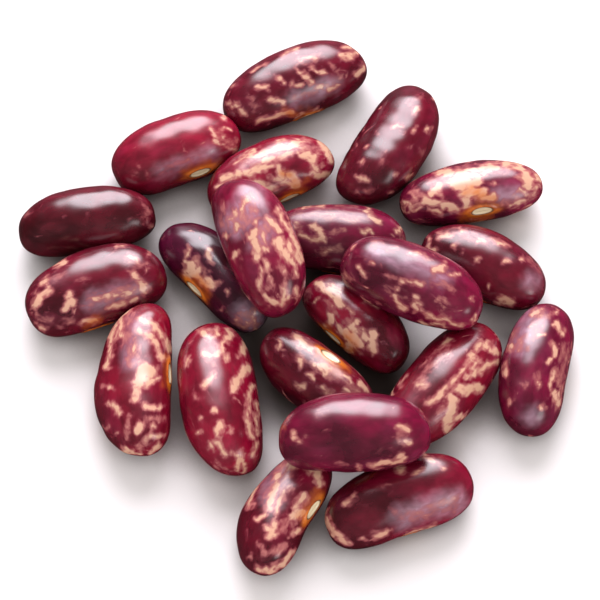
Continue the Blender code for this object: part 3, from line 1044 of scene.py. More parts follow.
@dataclass
class BeanSurface:
    """One bean's fine surface, its outline as the camera sees it, and what its coat holds.

    The number is the bean's place in the list, which seeds its unevenness. The eye is the
    camera's place in the layout, in millimetres.
    """

    bean: Bean
    number: int
    eye: np.ndarray
    form: BeanForm = BeanForm()
    scar: ScarForm = ScarForm()
    skin: Skin = Skin()
    brush: Brush = Brush()

    def __post_init__(self) -> None:
        """Work out the surface, set the bean down in its place and measure its outline."""
        bean = self.bean
        self.rng = np.random.default_rng(SEED + self.number)
        along, around = self.form.grid()
        self.base = self.form.surface(bean, along, around, self.rng.uniform(-1, 1))
        x = self.base[:, 0]
        height = self.base[:, 2] - bean.rise
        middle = bean.scar * bean.length / 2
        self.scars = self.scar.distance(x - middle, height, np.cos(around) < 0)
        skin = self.skin.relief(self.rng, self.base)
        relief = self.scar.raise_skin(skin, self.scars, x, height, middle)
        self.own = self.base + self.form.normals(self.base) * relief[:, None]
        self.turn = turn_matrix(bean)
        turned = self.own @ self.turn.T
        bedding = self.form.bedding if bean.lift > 0 else 0.0
        self.middle = np.array([bean.x, bean.y, bean.lift - turned[:, 2].min() - bedding])
        self.placed = turned + self.middle
        self.picture, self.facing, self.half = self.portrait()

    def portrait(self) -> tuple[np.ndarray, np.ndarray, np.ndarray]:
        """Measure the bean as the camera sees it.

        Returns:
            Each point's place in the outline, as fractions of its half sizes along and across,
            how squarely the point faces the camera, and the half sizes in millimetres.
        """
        sight = self.eye - self.middle
        sight /= np.linalg.norm(sight)
        heading = self.turn[:, 0]
        lengthwise = heading - heading @ sight * sight
        lengthwise /= np.linalg.norm(lengthwise)
        leftwards = np.cross(sight, lengthwise)
        placed = self.placed - self.middle
        flat = np.stack([placed @ lengthwise, placed @ leftwards], axis=-1)
        low = flat.min(axis=0)
        high = flat.max(axis=0)
        half = (high - low) / 2
        picture = (flat - (high + low) / 2) / half
        facing = self.form.normals(self.own) @ self.turn.T @ sight
        return picture, facing, half

    def mark_strength(self, paint: Paint) -> np.ndarray:
        """Find how strongly the marks of one kind cover each point.

        A mark is full within half its width of its line and fades out past that. The line is
        made to wander by adding ripples to the place that is measured.

        Args:
            paint: the kind.

        Returns:
            A strength from 0 to 1 for each point.
        """
        brush = self.brush
        # Painted highlights take the wider, softer edge.
        softness = brush.painted_highlight_softness if paint is Paint.BLOOM else brush.softness
        broad = [Ripples(self.rng, brush.wander_broad_length) for _ in range(2)]
        fine = [Ripples(self.rng, brush.wander_fine_length) for _ in range(2)]
        wander = np.stack([
            brush.wander_broad * broad[i](self.base) + brush.wander_fine * fine[i](self.base)
            for i in range(2)
        ], axis=-1)
        place = self.picture * self.half + wander
        strength = np.zeros(len(place))
        for mark in self.bean.marks:
            if mark.paint is not paint:
                continue
            away = distance_to_line(place, np.array(mark.points) * self.half)
            edge = 1 - Rise(-softness, softness).of(away - (mark.width + brush.spread) / 2)
            strength = np.maximum(strength, edge)
        return strength * brush.turning_away.of(self.facing)

    def ground_colour(self) -> np.ndarray:
        """Mix the dye over the surface: darker to one side, partly deeper dye and partly painted shade,
        with soft clouds and painted highlights in it.

        Returns:
            A linear colour with alpha for each point.
        """
        brush = self.brush
        dye = self.bean.dye
        # The ground darkens towards the deep pair's side: partly deeper dye, partly painted shade.
        shade_lean = self.picture @ np.array(self.bean.deep_and_shaded)
        patches = Ripples(self.rng, brush.patch_length)(self.base)
        clouds = Ripples(self.rng, brush.cloud_length)(self.base * np.array(brush.cloud_stretch))
        depth_and_shade = brush.patches.of(shade_lean + brush.patch_share * patches)[:, None]
        haze = (brush.cloud_share * brush.clouds.of(clouds))[:, None]
        colour = np.array(dye.fair_and_lit) * (1 - depth_and_shade) + np.array(dye.deep_and_shaded) * depth_and_shade
        colour = colour * (1 - haze) + np.array(dye.cloud) * haze
        # Painted highlights: a soft lilac sheen mixed into the ground colour.
        highlighted = (brush.painted_highlight_strength * self.mark_strength(Paint.BLOOM))[:, None]
        colour = colour * (1 - highlighted) + np.array(brush.painted_highlight_colour) * highlighted
        return np.hstack([colour, np.ones((len(colour), 1))])

    def fields(self) -> dict[str, np.ndarray]:
        """Work out what the coat's material reads at each point.

        Returns:
            The coordinates of the grain, the ground colour with its painted shade and painted
            highlights, and the cream, sprinkle, amber and scar fields.
        """
        bean = self.bean
        creamy = self.mark_strength(Paint.CREAM)
        # Blush marks, a few of them partly painted highlight, join the cream field.
        blushing_and_sheen = self.brush.blush_and_sheen_strength * self.mark_strength(Paint.BLUSH)
        left_bare = self.mark_strength(Paint.BARE)
        stained = self.brush.amber_strength * self.mark_strength(Paint.AMBER)
        shown = self.brush.shown.of(self.facing)
        ring = bean.stain * bell(self.scars - self.scar.ring_place, self.scar.ring_spread)
        return {
            "grain": self.base + np.array([SEED_SPACING * (self.number + 1), 0, 0]),
            "ground": self.ground_colour(),
            "cream": np.maximum(creamy, blushing_and_sheen) * (1 - left_bare),
            "sprinkle": bean.cover * (1 - shown * (1 - bean.sprinkle)) * (1 - left_bare),
            "amber": np.maximum(stained, ring),
            "scar": self.scars,
        }


def mesh_from_arrays(
    name: str, points: np.ndarray, squares: np.ndarray, triangles: np.ndarray
) -> bpy.types.Mesh:
    """Make a smooth mesh.

    Args:
        name: the mesh's name.
        points: the points in metres.
        squares: rows of four corners.
        triangles: rows of three corners.

    Returns:
        The mesh.
    """
    mesh = bpy.data.meshes.new(name)
    corners_of_faces = np.concatenate([squares.ravel(), triangles.ravel()])
    square_starts = np.arange(len(squares)) * 4
    triangle_starts = len(squares) * 4 + np.arange(len(triangles)) * 3
    starts = np.concatenate([square_starts, triangle_starts])
    mesh.vertices.add(len(points))
    mesh.vertices.foreach_set("co", points.astype(np.float32).ravel())
    mesh.loops.add(len(corners_of_faces))
    mesh.loops.foreach_set("vertex_index", corners_of_faces.astype(np.int32))
    mesh.polygons.add(len(starts))
    mesh.polygons.foreach_set("loop_start", starts.astype(np.int32))
    mesh.update(calc_edges=True)
    mesh.validate()
    mesh.shade_smooth()
    return mesh


def add_object(name: str, data: bpy.types.ID) -> bpy.types.Object:
    """Put a mesh, light or camera into the scene.

    Args:
        name: the object's name.
        data: what it shows.

    Returns:
        The object, at the origin.
    """
    made = bpy.data.objects.new(name, data)
    bpy.context.scene.collection.objects.link(made)
    return made


class AttributeKind(Enum):
    """How a field is kept: the mesh's data type, its values' name and the node's output."""

    NUMBER = ("FLOAT", "value", "Fac")
    VECTOR = ("FLOAT_VECTOR", "vector", "Vector")
    COLOUR = ("FLOAT_COLOR", "color", "Color")


FIELD_KINDS: dict[str, AttributeKind] = {
    "grain": AttributeKind.VECTOR,
    "ground": AttributeKind.COLOUR,
    "cream": AttributeKind.NUMBER,
    "sprinkle": AttributeKind.NUMBER,
    "amber": AttributeKind.NUMBER,
    "scar": AttributeKind.NUMBER,
}


@dataclass(frozen=True)
class CoatFinish:
    """How one kind of seed coat takes paint and light."""

    fleck_size: float
    fleck_colour: Rgba
    rim_colour: Rgba
    haze_colour: Rgba
    roughness: float
    gloss: float
    gloss_ior: float = 1.75
    gloss_roughness: float = 0.25


FINISHES: dict[Coat, CoatFinish] = {
    Coat.DARK: CoatFinish(
        fleck_size=1.0,
        fleck_colour=(0.50, 0.25, 0.17, 1),
        rim_colour=(0.30, 0.08, 0.08, 1),
        haze_colour=(0.16, 0.02, 0.035, 1),
        roughness=0.50,
        gloss=0.95,
    ),
    Coat.CRIMSON: CoatFinish(
        fleck_size=0.9,
        fleck_colour=(0.54, 0.28, 0.20, 1),
        rim_colour=(0.38, 0.09, 0.09, 1),
        haze_colour=(0.26, 0.025, 0.045, 1),
        roughness=0.50,
        gloss=0.95,
    ),
    Coat.FLECKED: CoatFinish(
        fleck_size=1.0,
        fleck_colour=(0.52, 0.28, 0.19, 1),
        rim_colour=(0.32, 0.09, 0.085, 1),
        haze_colour=(0.18, 0.025, 0.045, 1),
        roughness=0.50,
        gloss=0.95,
    ),
    Coat.MARBLED: CoatFinish(
        fleck_size=1.2,
        fleck_colour=(0.54, 0.30, 0.20, 1),
        rim_colour=(0.38, 0.12, 0.11, 1),
        haze_colour=(0.24, 0.030, 0.050, 1),
        roughness=0.52,
        gloss=0.90,
    ),
    Coat.DUSKY: CoatFinish(
        fleck_size=1.0,
        fleck_colour=(0.48, 0.27, 0.18, 1),
        rim_colour=(0.28, 0.09, 0.08, 1),
        haze_colour=(0.15, 0.025, 0.045, 1),
        roughness=0.52,
        gloss=0.90,
    ),
}


class Wiring:
    """A node tree and the few moves that every material here is made with."""

    def __init__(self, tree: bpy.types.NodeTree) -> None:
        """Keep the tree."""
        self.tree = tree

    def node(self, kind: str, **inputs: object) -> bpy.types.Node:
        """Add a node.

        Args:
            kind: the node's type.
            inputs: values or sockets for its inputs, by name with _ for a space.

        Returns:
            The node.
        """
        made = self.tree.nodes.new(kind)
        for name, value in inputs.items():
            self.feed(made.inputs[name.replace("_", " ")], value)
        return made

    def feed(self, socket: Socket, value: object) -> None:
        """Set an input to a value, or link it to a socket.

        Args:
            socket: the input.
            value: the value or the socket.
        """
        if isinstance(value, bpy.types.NodeSocket):
            self.tree.links.new(value, socket)
        else:
            socket.default_value = value

    def group(self, tree: bpy.types.NodeTree, **inputs: object) -> bpy.types.Node:
        """Place a shared group.

        Args:
            tree: the group.
            inputs: values or sockets for its inputs, by name.

        Returns:
            The group's node.
        """
        made = self.node("ShaderNodeGroup")
        made.node_tree = tree
        for name, value in inputs.items():
            self.feed(made.inputs[name], value)
        return made

    def math(self, operation: str, *values: object, clamp: bool = False) -> Socket:
        """Add a sum.

        Args:
            operation: what it does.
            values: the values or sockets that it works on.
            clamp: whether the result is kept between 0 and 1.

        Returns:
            The result.
        """
        made = self.node("ShaderNodeMath")
        made.operation = operation
        made.use_clamp = clamp
        for socket, value in zip(made.inputs, values):
            self.feed(socket, value)
        return made.outputs[0]

    def step(self, value: object, rise: Rise) -> Socket:
        """Pass a value through a smooth rise.

        Args:
            value: the value or socket.
            rise: the rise, which may also run from a high value down to a low one.

        Returns:
            The result.
        """
        made = self.node("ShaderNodeMapRange", Value=value)
        made.interpolation_type = "SMOOTHSTEP"
        made.inputs["From Min"].default_value = rise.low
        made.inputs["From Max"].default_value = rise.high
        made.inputs["To Min"].default_value = rise.bottom
        made.inputs["To Max"].default_value = rise.top
        return made.outputs["Result"]

    def mix(self, share: object, first: object, second: object, blend: str = "MIX") -> Socket:
        """Mix two colours.

        Args:
            share: the second colour's share.
            first: the first colour.
            second: the second colour.
            blend: how the second lies on the first.

        Returns:
            The mixed colour.
        """
        made = self.node("ShaderNodeMix")
        made.data_type = "RGBA"
        made.blend_type = blend
        colours = [socket for socket in made.inputs if socket.type == "RGBA"]
        self.feed(made.inputs["Factor"], share)
        self.feed(colours[0], first)
        self.feed(colours[1], second)
        return next(socket for socket in made.outputs if socket.type == "RGBA")

    def vector_math(self, operation: str, vector: object, other: Sequence[float]) -> bpy.types.Node:
        """Add a sum of vectors.

        Args:
            operation: what it does.
            vector: the first vector or socket.
            other: the second vector.

        Returns:
            The node.
        """
        made = self.node("ShaderNodeVectorMath")
        made.operation = operation
        self.feed(made.inputs[0], vector)
        made.inputs[1].default_value = other
        return made

    def stretch(self, vector: object, scale: Sequence[float]) -> Socket:
        """Scale a vector."""
        return self.vector_math("MULTIPLY", vector, scale).outputs["Vector"]

    def distance(self, place: object, point: Sequence[float]) -> Socket:
        """Measure how far a place is from a fixed point."""
        return self.vector_math("DISTANCE", place, point).outputs["Value"]

    def noise(self, vector: object, scale: object, detail: float, distortion: float = 0.0) -> Socket:
        """Add a noise texture.

        Args:
            vector: where it is read.
            scale: how many times it repeats in a millimetre.
            detail: how many finer layers it has.
            distortion: how far it is bent.

        Returns:
            Its value.
        """
        made = self.node(
            "ShaderNodeTexNoise", Vector=vector, Scale=scale, Detail=detail, Distortion=distortion
        )
        return made.outputs["Fac"]

    def field(self, name: str, kind: AttributeKind) -> Socket:
        """Read one of the mesh's fields.

        Args:
            name: the field's name.
            kind: how it is kept.

        Returns:
            Its value.
        """
        made = self.node("ShaderNodeAttribute")
        made.attribute_name = name
        return made.outputs[kind.value[2]]


def new_group(
    name: str, inputs: dict[str, str], outputs: dict[str, str]
) -> tuple[bpy.types.NodeTree, bpy.types.Node, bpy.types.Node]:
    """Start a shader node group.

    Args:
        name: the group's name.
        inputs: its inputs' names and kinds.
        outputs: its outputs' names and kinds.

    Returns:
        The group, its input node and its output node.
    """
    group = bpy.data.node_groups.new(name, "ShaderNodeTree")
    for label, kind in inputs.items():
        group.interface.new_socket(label, in_out="INPUT", socket_type=f"NodeSocket{kind}")
    for label, kind in outputs.items():
        group.interface.new_socket(label, in_out="OUTPUT", socket_type=f"NodeSocket{kind}")
    return group, group.nodes.new("NodeGroupInput"), group.nodes.new("NodeGroupOutput")


@dataclass(frozen=True)
class FleckPattern:
    """Turns the cream and sprinkle fields into ragged flecks. Scales are for a millimetre.

    The drawn marks get an edge broken by fine grain. Sprinkled flecks are where a noise drawn out
    along the bean rises over a level that falls as the sprinkle field grows. Each result has one
    rise for the drawn marks and one for the sprinkled flecks.
    """

    drawn_out: Triple = (0.6, 1.0, 1.0)
    detail: float = 3.0
    broad_scale: float = 0.62
    broad_distortion: float = 0.9
    fine_scale: float = 1.5
    fine_distortion: float = 0.3
    fine_middle: float = 0.5
    raggedness: float = 1.5
    near_marks: Rise = Rise(0.0, 0.30, 0.18, 1.0)
    sprinkle_raggedness: float = 0.12
    bare_level: float = 0.735
    sprinkle_drop: float = 0.42
    fleck: tuple[Rise, Rise] = (Rise(0.52, 0.92), Rise(0.01, 0.10))
    rim: tuple[Rise, Rise] = (Rise(0.14, 0.62), Rise(-0.04, 0.04))
    haze: tuple[Rise, Rise] = (Rise(-0.04, 0.32), Rise(-0.11, 0.0))

    def build(self) -> bpy.types.NodeTree:
        """Build the shared group.

        Returns:
            A group that takes the grain, the two fields and the flecks' size, and gives masks for
            the flecks, their salmon rims and the paler haze round them.
        """
        group, given, result = new_group(
            "flecks",
            {"Grain": "Vector", "Cream": "Float", "Sprinkle": "Float", "Size": "Float"},
            {"Fleck": "Float", "Rim": "Float", "Haze": "Float"},
        )
        wire = Wiring(group)
        drawn_out = wire.stretch(given.outputs["Grain"], self.drawn_out)
        broad_scale = wire.math("DIVIDE", self.broad_scale, given.outputs["Size"])
        broad = wire.noise(drawn_out, broad_scale, self.detail, self.broad_distortion)
        fine = wire.noise(drawn_out, self.fine_scale, self.detail, self.fine_distortion)
        centred = wire.math("SUBTRACT", fine, self.fine_middle)
        ragged = wire.math("MULTIPLY", centred, self.raggedness)
        nearby = wire.step(given.outputs["Cream"], self.near_marks)
        broken = wire.math("MULTIPLY", ragged, nearby)
        drawn = wire.math("ADD", given.outputs["Cream"], broken)
        scattered = wire.math("ADD", broad, wire.math("MULTIPLY", ragged, self.sprinkle_raggedness))
        drop = wire.math("MULTIPLY", given.outputs["Sprinkle"], self.sprinkle_drop)
        level = wire.math("SUBTRACT", self.bare_level, drop)
        over = wire.math("SUBTRACT", scattered, level)
        for name, (drawn_rise, over_rise) in (
            ("Fleck", self.fleck),
            ("Rim", self.rim),
            ("Haze", self.haze),
        ):
            strongest = wire.math("MAXIMUM", wire.step(drawn, drawn_rise), wire.step(over, over_rise))
            wire.feed(result.inputs[name], strongest)
        return group


@dataclass(frozen=True)
class GrainPattern:
    """The coat's fine grain: a mottle for its colour, a height for its skin and its polish.

    Scales are for a millimetre. The mottle and the creases are drawn out along the bean.
    """

    drawn_out: Triple = (0.60, 1.0, 1.0)
    mottle_scale: float = 0.9
    mottle_detail: float = 4.0
    mottle_distortion: float = 0.4
    pit_scale: float = 3.4
    pit_share: float = 0.45
    crease_scale: float = 1.9
    crease_distortion: float = 0.3
    crease_share: float = 0.9
    skin_detail: float = 2.0
    polish_scale: float = 0.8
    polish_detail: float = 3.0

    def build(self) -> bpy.types.NodeTree:
        """Build the shared group.

        Returns:
            A group that takes the grain's coordinates and gives the mottle, height and polish.
        """
        group, given, result = new_group(
            "coat_grain", {"Grain": "Vector"}, {"Mottle": "Float", "Height": "Float", "Polish": "Float"}
        )
        wire = Wiring(group)
        grain = given.outputs["Grain"]
        drawn_out = wire.stretch(grain, self.drawn_out)
        mottle = wire.noise(drawn_out, self.mottle_scale, self.mottle_detail, self.mottle_distortion)
        pits = wire.noise(grain, self.pit_scale, self.skin_detail)
        creases = wire.noise(drawn_out, self.crease_scale, self.skin_detail, self.crease_distortion)
        pitted = wire.math("MULTIPLY", pits, self.pit_share)
        creased = wire.math("MULTIPLY", creases, self.crease_share)
        wire.feed(result.inputs["Mottle"], mottle)
        wire.feed(result.inputs["Height"], wire.math("ADD", pitted, creased))
        wire.feed(result.inputs["Polish"], wire.noise(grain, self.polish_scale, self.polish_detail))
        return group


@dataclass
class CoatMaterials:
    """Builds the seed coat's material for each kind, on two shared groups.

    Scar rises are in scars, with 1 on the scar's rim, and the bump's height is in millimetres.
    """

    flecks: FleckPattern = FleckPattern()
    grain: GrainPattern = GrainPattern()
    bump_height: float = 0.055
    mottle: Rise = Rise(0.30, 0.70, 0.78, 1.24)
    haze_share: float = 0.45
    rim_share: float = 0.80
    stain_patches: Rise = Rise(0.25, 0.60, 0.45, 1.0)
    amber_on_fleck: Rgba = (0.52, 0.13, 0.012, 1)
    amber_on_ground: Rgba = (0.34, 0.058, 0.006, 1)
    glow_patches: Rise = Rise(0.38, 0.60, 0.25, 1.0)
    glow_edge: Rise = Rise(2.1, 1.2)
    scar_shadow: Rgba = (0.16, 0.07, 0.03, 1)
    shadow_edge: Rise = Rise(1.14, 1.0)
    scar_colour: Rgba = (0.68, 0.56, 0.36, 1)
    scar_edge: Rise = Rise(0.98, 0.82)
    polish: Rise = Rise(0.3, 0.7, -0.05, 0.07)
    fleck_dullness: float = 0.07
    scar_dullness: Rise = Rise(1.15, 0.9, 0.0, 0.4)

    def __post_init__(self) -> None:
        """Build the two groups once."""
        self.fleck_group = self.flecks.build()
        self.grain_group = self.grain.build()

    def build(self, coat: Coat) -> bpy.types.Material:
        """Build one kind's material.

        Args:
            coat: the kind.

        Returns:
            A glossy coat: ground colour with painted shade and painted highlights, flecks with a
            salmon rim, an orange-brown stain and a pale scar, over fine grain.
        """
        finish = FINISHES[coat]
        material = bpy.data.materials.new(f"seed_coat_{coat.value}")
        material.use_nodes = True
        wire = Wiring(material.node_tree)
        shader = material.node_tree.nodes["Principled BSDF"]
        fields = {name: wire.field(name, kind) for name, kind in FIELD_KINDS.items()}
        flecks = wire.group(
            self.fleck_group,
            Grain=fields["grain"],
            Cream=fields["cream"],
            Sprinkle=fields["sprinkle"],
            Size=finish.fleck_size,
        )
        grain = wire.group(self.grain_group, Grain=fields["grain"])
        roughness = self.roughness(wire, finish, fields["scar"], flecks, grain)
        wire.feed(shader.inputs["Base Color"], self.colour(wire, finish, fields, flecks, grain))
        wire.feed(shader.inputs["Roughness"], roughness)
        shader.inputs["Specular IOR Level"].default_value = 0.0
        shader.inputs["Coat Weight"].default_value = finish.gloss
        shader.inputs["Coat IOR"].default_value = finish.gloss_ior
        shader.inputs["Coat Roughness"].default_value = finish.gloss_roughness
        bump = wire.node(
            "ShaderNodeBump",
            Strength=1.0,
            Distance=self.bump_height * MM,
            Height=grain.outputs["Height"],
        )
        wire.feed(shader.inputs["Normal"], bump.outputs["Normal"])
        return material

    def colour(
        self,
        wire: Wiring,
        finish: CoatFinish,
        fields: dict[str, Socket],
        flecks: bpy.types.Node,
        grain: bpy.types.Node,
    ) -> Socket:
        """Lay the colours over each other: ground, which holds painted shade and painted highlights,
        mottle, haze, rims, flecks, stain and scar.

        Args:
            wire: the material's tree.
            finish: the kind's finish.
            fields: the mesh's fields.
            flecks: the fleck group's node.
            grain: the grain group's node.

        Returns:
            The colour.
        """
        mottle = grain.outputs["Mottle"]
        fleck = flecks.outputs["Fleck"]
        scar = fields["scar"]
        shade = wire.step(mottle, self.mottle)
        grey = wire.node("ShaderNodeCombineColor", Red=shade, Green=shade, Blue=shade)
        # The ground field holds painted shade and painted highlights.
        ground = wire.mix(1.0, fields["ground"], grey.outputs["Color"], "MULTIPLY")
        haze = wire.math("MULTIPLY", flecks.outputs["Haze"], self.haze_share)
        hazed = wire.mix(haze, ground, finish.haze_colour)
        rim = wire.math("MULTIPLY", flecks.outputs["Rim"], self.rim_share)
        rimmed = wire.mix(rim, hazed, finish.rim_colour)
        flecked = wire.mix(fleck, rimmed, finish.fleck_colour)
        stain = wire.math("MULTIPLY", fields["amber"], wire.step(mottle, self.stain_patches))
        stain_colour = wire.mix(fleck, self.amber_on_ground, self.amber_on_fleck)
        stained = wire.mix(stain, flecked, stain_colour)
        near_scar = wire.step(scar, self.glow_edge)
        glow = wire.math("MULTIPLY", near_scar, wire.step(mottle, self.glow_patches))
        glowing = wire.mix(glow, stained, self.amber_on_fleck)
        shadowed = wire.mix(wire.step(scar, self.shadow_edge), glowing, self.scar_shadow)
        return wire.mix(wire.step(scar, self.scar_edge), shadowed, self.scar_colour)

    def roughness(
        self,
        wire: Wiring,
        finish: CoatFinish,
        scar: Socket,
        flecks: bpy.types.Node,
        grain: bpy.types.Node,
    ) -> Socket:
        """Vary the roughness: polish comes and goes, flecks are duller and the scar is matt.

        Args:
            wire: the material's tree.
            finish: the kind's finish.
            scar: the scar's field.
            flecks: the fleck group's node.
            grain: the grain group's node.

        Returns:
            The roughness.
        """
        smoothest = finish.roughness + self.polish.bottom
        dullest = finish.roughness + self.polish.top
        ends = Rise(self.polish.low, self.polish.high, smoothest, dullest)
        polished = wire.step(grain.outputs["Polish"], ends)
        duller = wire.math("MULTIPLY", flecks.outputs["Fleck"], self.fleck_dullness)
        dulled = wire.math("ADD", polished, duller)
        return wire.math("ADD", dulled, wire.step(scar, self.scar_dullness), clamp=True)


class Heap:
    """The heap: all beans, placed so that the middle of their box is over the origin."""

    def __init__(self, beans: tuple[Bean, ...], eye: np.ndarray) -> None:
        """Build every bean's surface and find the shift that centres the heap.

        Args:
            beans: the beans.
            eye: the camera's place in the layout, in millimetres.
        """
        self.surfaces = [BeanSurface(bean, number, eye) for number, bean in enumerate(beans)]
        everything = np.vstack([surface.placed for surface in self.surfaces])
        middle = (everything.min(axis=0) + everything.max(axis=0)) / 2
        low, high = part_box(HEAP_NODE)
        wanted = (np.array(low) + np.array(high)) / 2 / MM
        self.shift = np.array([wanted[0] - middle[0], wanted[1] - middle[1], low[2] / MM])

    def piece(self, coat: Coat, material: bpy.types.Material) -> bpy.types.Object:
        """Join the beans of one kind.

        Args:
            coat: the kind.
            material: its material.

        Returns:
            The piece, which stands for the heap's solid with the other kinds.
        """
        chosen = [surface for surface in self.surfaces if surface.bean.coat is coat]
        points = np.vstack([surface.placed + self.shift for surface in chosen]) * MM
        faces = [
            surface.form.faces(i * len(surface.placed)) for i, surface in enumerate(chosen)
        ]
        squares = np.vstack([squares for squares, _ in faces])
        triangles = np.vstack([triangles for _, triangles in faces])
        name = f"beans_{coat.value}"
        mesh = mesh_from_arrays(name, points, squares, triangles)
        tables = [surface.fields() for surface in chosen]
        for label, kind in FIELD_KINDS.items():
            data_type, values_name, _ = kind.value
            values = np.concatenate([table[label] for table in tables]).astype(np.float32)
            attribute = mesh.attributes.new(label, data_type, "POINT")
            attribute.data.foreach_set(values_name, values.ravel())
        mesh.materials.append(material)
        piece = add_object(name, mesh)
        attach(piece, ROOT_BODY)
        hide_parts(HEAP_NODE)
        return piece


@dataclass(frozen=True)
class Table:
    """The pale table top under the beans. Lengths are in metres.

    The table carries painted shade: it is darker where beans crowd over it, by ambient occlusion,
    and deepest at three painted shadow spots among the middle beans. A shadow spot is full out to
    the first radius of its edge, and gone past the second. The beans' gloss mirrors the table dark.
    """

    side: float = 3.0
    colour: Rgba = (0.66, 0.635, 0.63, 1)
    # Painted contact shade, darkest where beans crowd close.
    contact_shade: Rgba = (0.11, 0.08, 0.075, 1)
    contact_shade_reach: float = 0.0055
    open_share: Rise = Rise(0.05, 0.80)
    # Painted shadow colour of the shadow spots.
    deep_and_shaded: Rgba = (0.04, 0.026, 0.022, 1)
    painted_shadow_spots: tuple[Pair, ...] = ((0.007, -0.011), (0.000, -0.005), (0.006, 0.001))
    shadow_spot_edge: Rise = Rise(0.0035, 0.012)
    mirrored: Rgba = (0.03, 0.02, 0.02, 1)
    roughness: float = 0.7
    specular: float = 0.2

    def build(self) -> bpy.types.Object:
        """Lay the table top, one square that faces up.

        Returns:
            The table top.
        """
        half = self.side / 2
        square = [(-half, -half, 0), (half, -half, 0), (half, half, 0), (-half, half, 0)]
        mesh = bpy.data.meshes.new("table_top")
        mesh.from_pydata(square, [], [(0, 1, 2, 3)])
        mesh.materials.append(self.material())
        table = add_object("table_top", mesh)
        return table

    def material(self) -> bpy.types.Material:
        """Paint the table.

        Returns:
            A matt white that darkens among the beans.
        """
        material = bpy.data.materials.new("table_top")
        material.use_nodes = True
        wire = Wiring(material.node_tree)
        shader = material.node_tree.nodes["Principled BSDF"]
        path = wire.node("ShaderNodeLightPath")
        place = wire.node("ShaderNodeTexCoord")
        # Painted shade: the table darkens near the beans, by ambient occlusion.
        contact_occlusion = wire.node("ShaderNodeAmbientOcclusion", Distance=self.contact_shade_reach)
        clear = wire.step(contact_occlusion.outputs["AO"], self.open_share)
        seen = wire.mix(clear, self.contact_shade, self.colour)
        # Painted shadow spots among the middle beans.
        for across, back in self.painted_shadow_spots:
            away = wire.distance(place.outputs["Object"], (across, back, 0))
            seen = wire.mix(wire.step(away, self.shadow_spot_edge), self.deep_and_shaded, seen)
        colour = wire.mix(path.outputs["Is Glossy Ray"], seen, self.mirrored)
        wire.feed(shader.inputs["Base Color"], colour)
        shader.inputs["Roughness"].default_value = self.roughness
        shader.inputs["Specular IOR Level"].default_value = self.specular
        return material


@dataclass(frozen=True)
class Softbox:
    """A rectangular light that faces the heap and fades towards its edges. Lengths are in metres.

    It is full within the full share of its shorter side from its middle, and out at half of its
    longer side.
    """

    name: str
    place: Vector
    size: Pair
    power: float
    colour: Rgb
    full_share: float = 0.3

    def build(self) -> bpy.types.Object:
        """Hang the light.

        Returns:
            The light.
        """
        data = bpy.data.lights.new(self.name, "AREA")
        data.shape = "RECTANGLE"
        data.size, data.size_y = self.size
        data.energy = self.power
        data.color = self.colour
        data.use_nodes = True
        wire = Wiring(data.node_tree)
        spot = wire.node("ShaderNodeNewGeometry")
        away = wire.distance(spot.outputs["Position"], self.place)
        fading = Rise(max(self.size) / 2, min(self.size) * self.full_share)
        wire.feed(data.node_tree.nodes["Emission"].inputs["Strength"], wire.step(away, fading))
        light = add_object(self.name, data)
        light.location = self.place
        light.rotation_euler = (-self.place).to_track_quat("-Z", "Y").to_euler()
        return light


def behind_heap(elevation: float, distance: float) -> Vector:
    """Find the place straight behind the heap at an elevation in degrees."""
    rise = math.radians(elevation)
    return Vector((0.0, math.cos(rise), math.sin(rise))).normalized() * distance


KEY_LAMP = Softbox(
    name="key",
    place=behind_heap(elevation=41.5, distance=0.50),
    size=(0.50, 0.58),
    power=8.4,
    colour=(0.97, 0.93, 1.0),
)
FRONT_FILL = Softbox(
    name="front_fill",
    place=Vector((0.38, -0.34, 0.22)),
    size=(0.26, 0.20),
    power=0.55,
    colour=(1.0, 0.96, 0.98),
)


@dataclass(frozen=True)
class Sky:
    """The studio's light from all round: strengths overhead, low down and from in front.

    What the gloss mirrors of it is dimmed to the mirrored share, so the highlights come from the
    lamps.
    """

    colour: Rgba = (1.0, 0.975, 0.975, 1)
    by_height: Rise = Rise(0.0, 1.0, 0.92, 0.98)
    by_depth: Rise = Rise(-0.9, 0.3, 1.88, 1.0)
    mirrored: float = 0.03

    def build(self) -> None:
        """Make the sky the scene's world: the rises by height and by depth, multiplied."""
        world = bpy.data.worlds.new("studio")
        world.use_nodes = True
        bpy.context.scene.world = world
        wire = Wiring(world.node_tree)
        background = world.node_tree.nodes["Background"]
        background.inputs["Color"].default_value = self.colour
        place = wire.node("ShaderNodeTexCoord")
        parts = wire.node("ShaderNodeSeparateXYZ", Vector=place.outputs["Generated"])
        raised = wire.step(parts.outputs["Z"], self.by_height)
        turned = wire.step(parts.outputs["Y"], self.by_depth)
        path = wire.node("ShaderNodeLightPath")
        dimmed = wire.step(path.outputs["Is Glossy Ray"], Rise(0.0, 1.0, 1.0, self.mirrored))
        strength = wire.math("MULTIPLY", wire.math("MULTIPLY", raised, turned), dimmed)
        wire.feed(background.inputs["Strength"], strength)


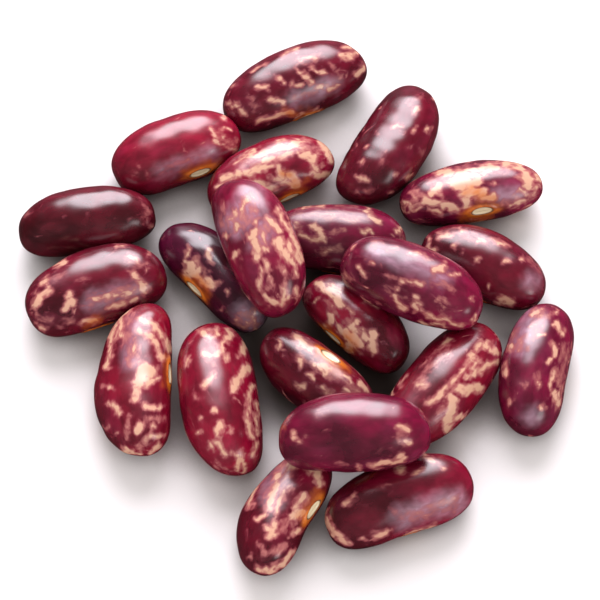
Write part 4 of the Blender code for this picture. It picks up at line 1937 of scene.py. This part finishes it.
@dataclass(frozen=True)
class Camera:
    """The camera at the photographed angle. It looks along +Y and down, at its aim.

    The distance and the aim, which is given right and up from the layout's own middle, are in
    millimetres, as are the lens and the sensor. The clips are in metres.
    """

    elevation: float = 62.0
    distance: float = 300.0
    aim_right: float = 0.34
    aim_up: float = 0.68
    lens: float = 159.3
    sensor: float = 36.0
    clip_near: float = 0.01
    clip_far: float = 10.0

    def eye(self) -> np.ndarray:
        """Work out the camera's place.

        Returns:
            The place from the layout's own middle, in millimetres.
        """
        elevation = math.radians(self.elevation)
        back = np.array([0, -math.cos(elevation), math.sin(elevation)])
        up = np.array([0, math.sin(elevation), math.cos(elevation)])
        return back * self.distance + np.array([self.aim_right, 0, 0]) + up * self.aim_up

    def build(self, shift: np.ndarray) -> bpy.types.Object:
        """Set up the camera.

        Args:
            shift: how far the layout was moved to centre the heap, in millimetres.

        Returns:
            The camera.
        """
        data = bpy.data.cameras.new("camera")
        data.lens = self.lens
        data.sensor_width = self.sensor
        data.clip_start = self.clip_near
        data.clip_end = self.clip_far
        camera = add_object("camera", data)
        camera.location = Vector((self.eye() + shift) * MM)
        camera.rotation_euler = (math.radians(90 - self.elevation), 0, 0)
        bpy.context.scene.camera = camera
        return camera


@dataclass(frozen=True)
class Studio:
    """The table, the lamps, the sky and the camera round the heap.

    The key lamp is cool and hangs behind the heap. A weak fill stands low to the right in front.
    """

    table: Table = Table()
    lamps: tuple[Softbox, ...] = (KEY_LAMP, FRONT_FILL)
    sky: Sky = Sky()
    camera: Camera = Camera()

    def build(self, shift: np.ndarray) -> list[bpy.types.Object]:
        """Build the studio, with the picture's tones left plain.

        Args:
            shift: how far the layout was moved to centre the heap, in millimetres.

        Returns:
            The table top, the lamps and the camera.
        """
        table = self.table.build()
        lamps = [lamp.build() for lamp in self.lamps]
        self.sky.build()
        camera = self.camera.build(shift)
        bpy.context.scene.view_settings.view_transform = "Standard"
        bpy.context.scene.view_settings.look = "None"
        return [table, *lamps, camera]


def main() -> None:
    """Build the beans and the studio."""
    logging.basicConfig(level=logging.INFO, format="%(message)s")
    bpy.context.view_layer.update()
    studio = Studio()
    heap = Heap(BEANS, studio.camera.eye())
    materials = CoatMaterials()
    for coat in Coat:
        piece = heap.piece(coat, materials.build(coat))
        log.info("%s: %d faces", piece.name, len(piece.data.polygons))
    for item in studio.build(heap.shift):
        log.info("%s: in place", item.name)


if __name__ == "__main__":
    main()
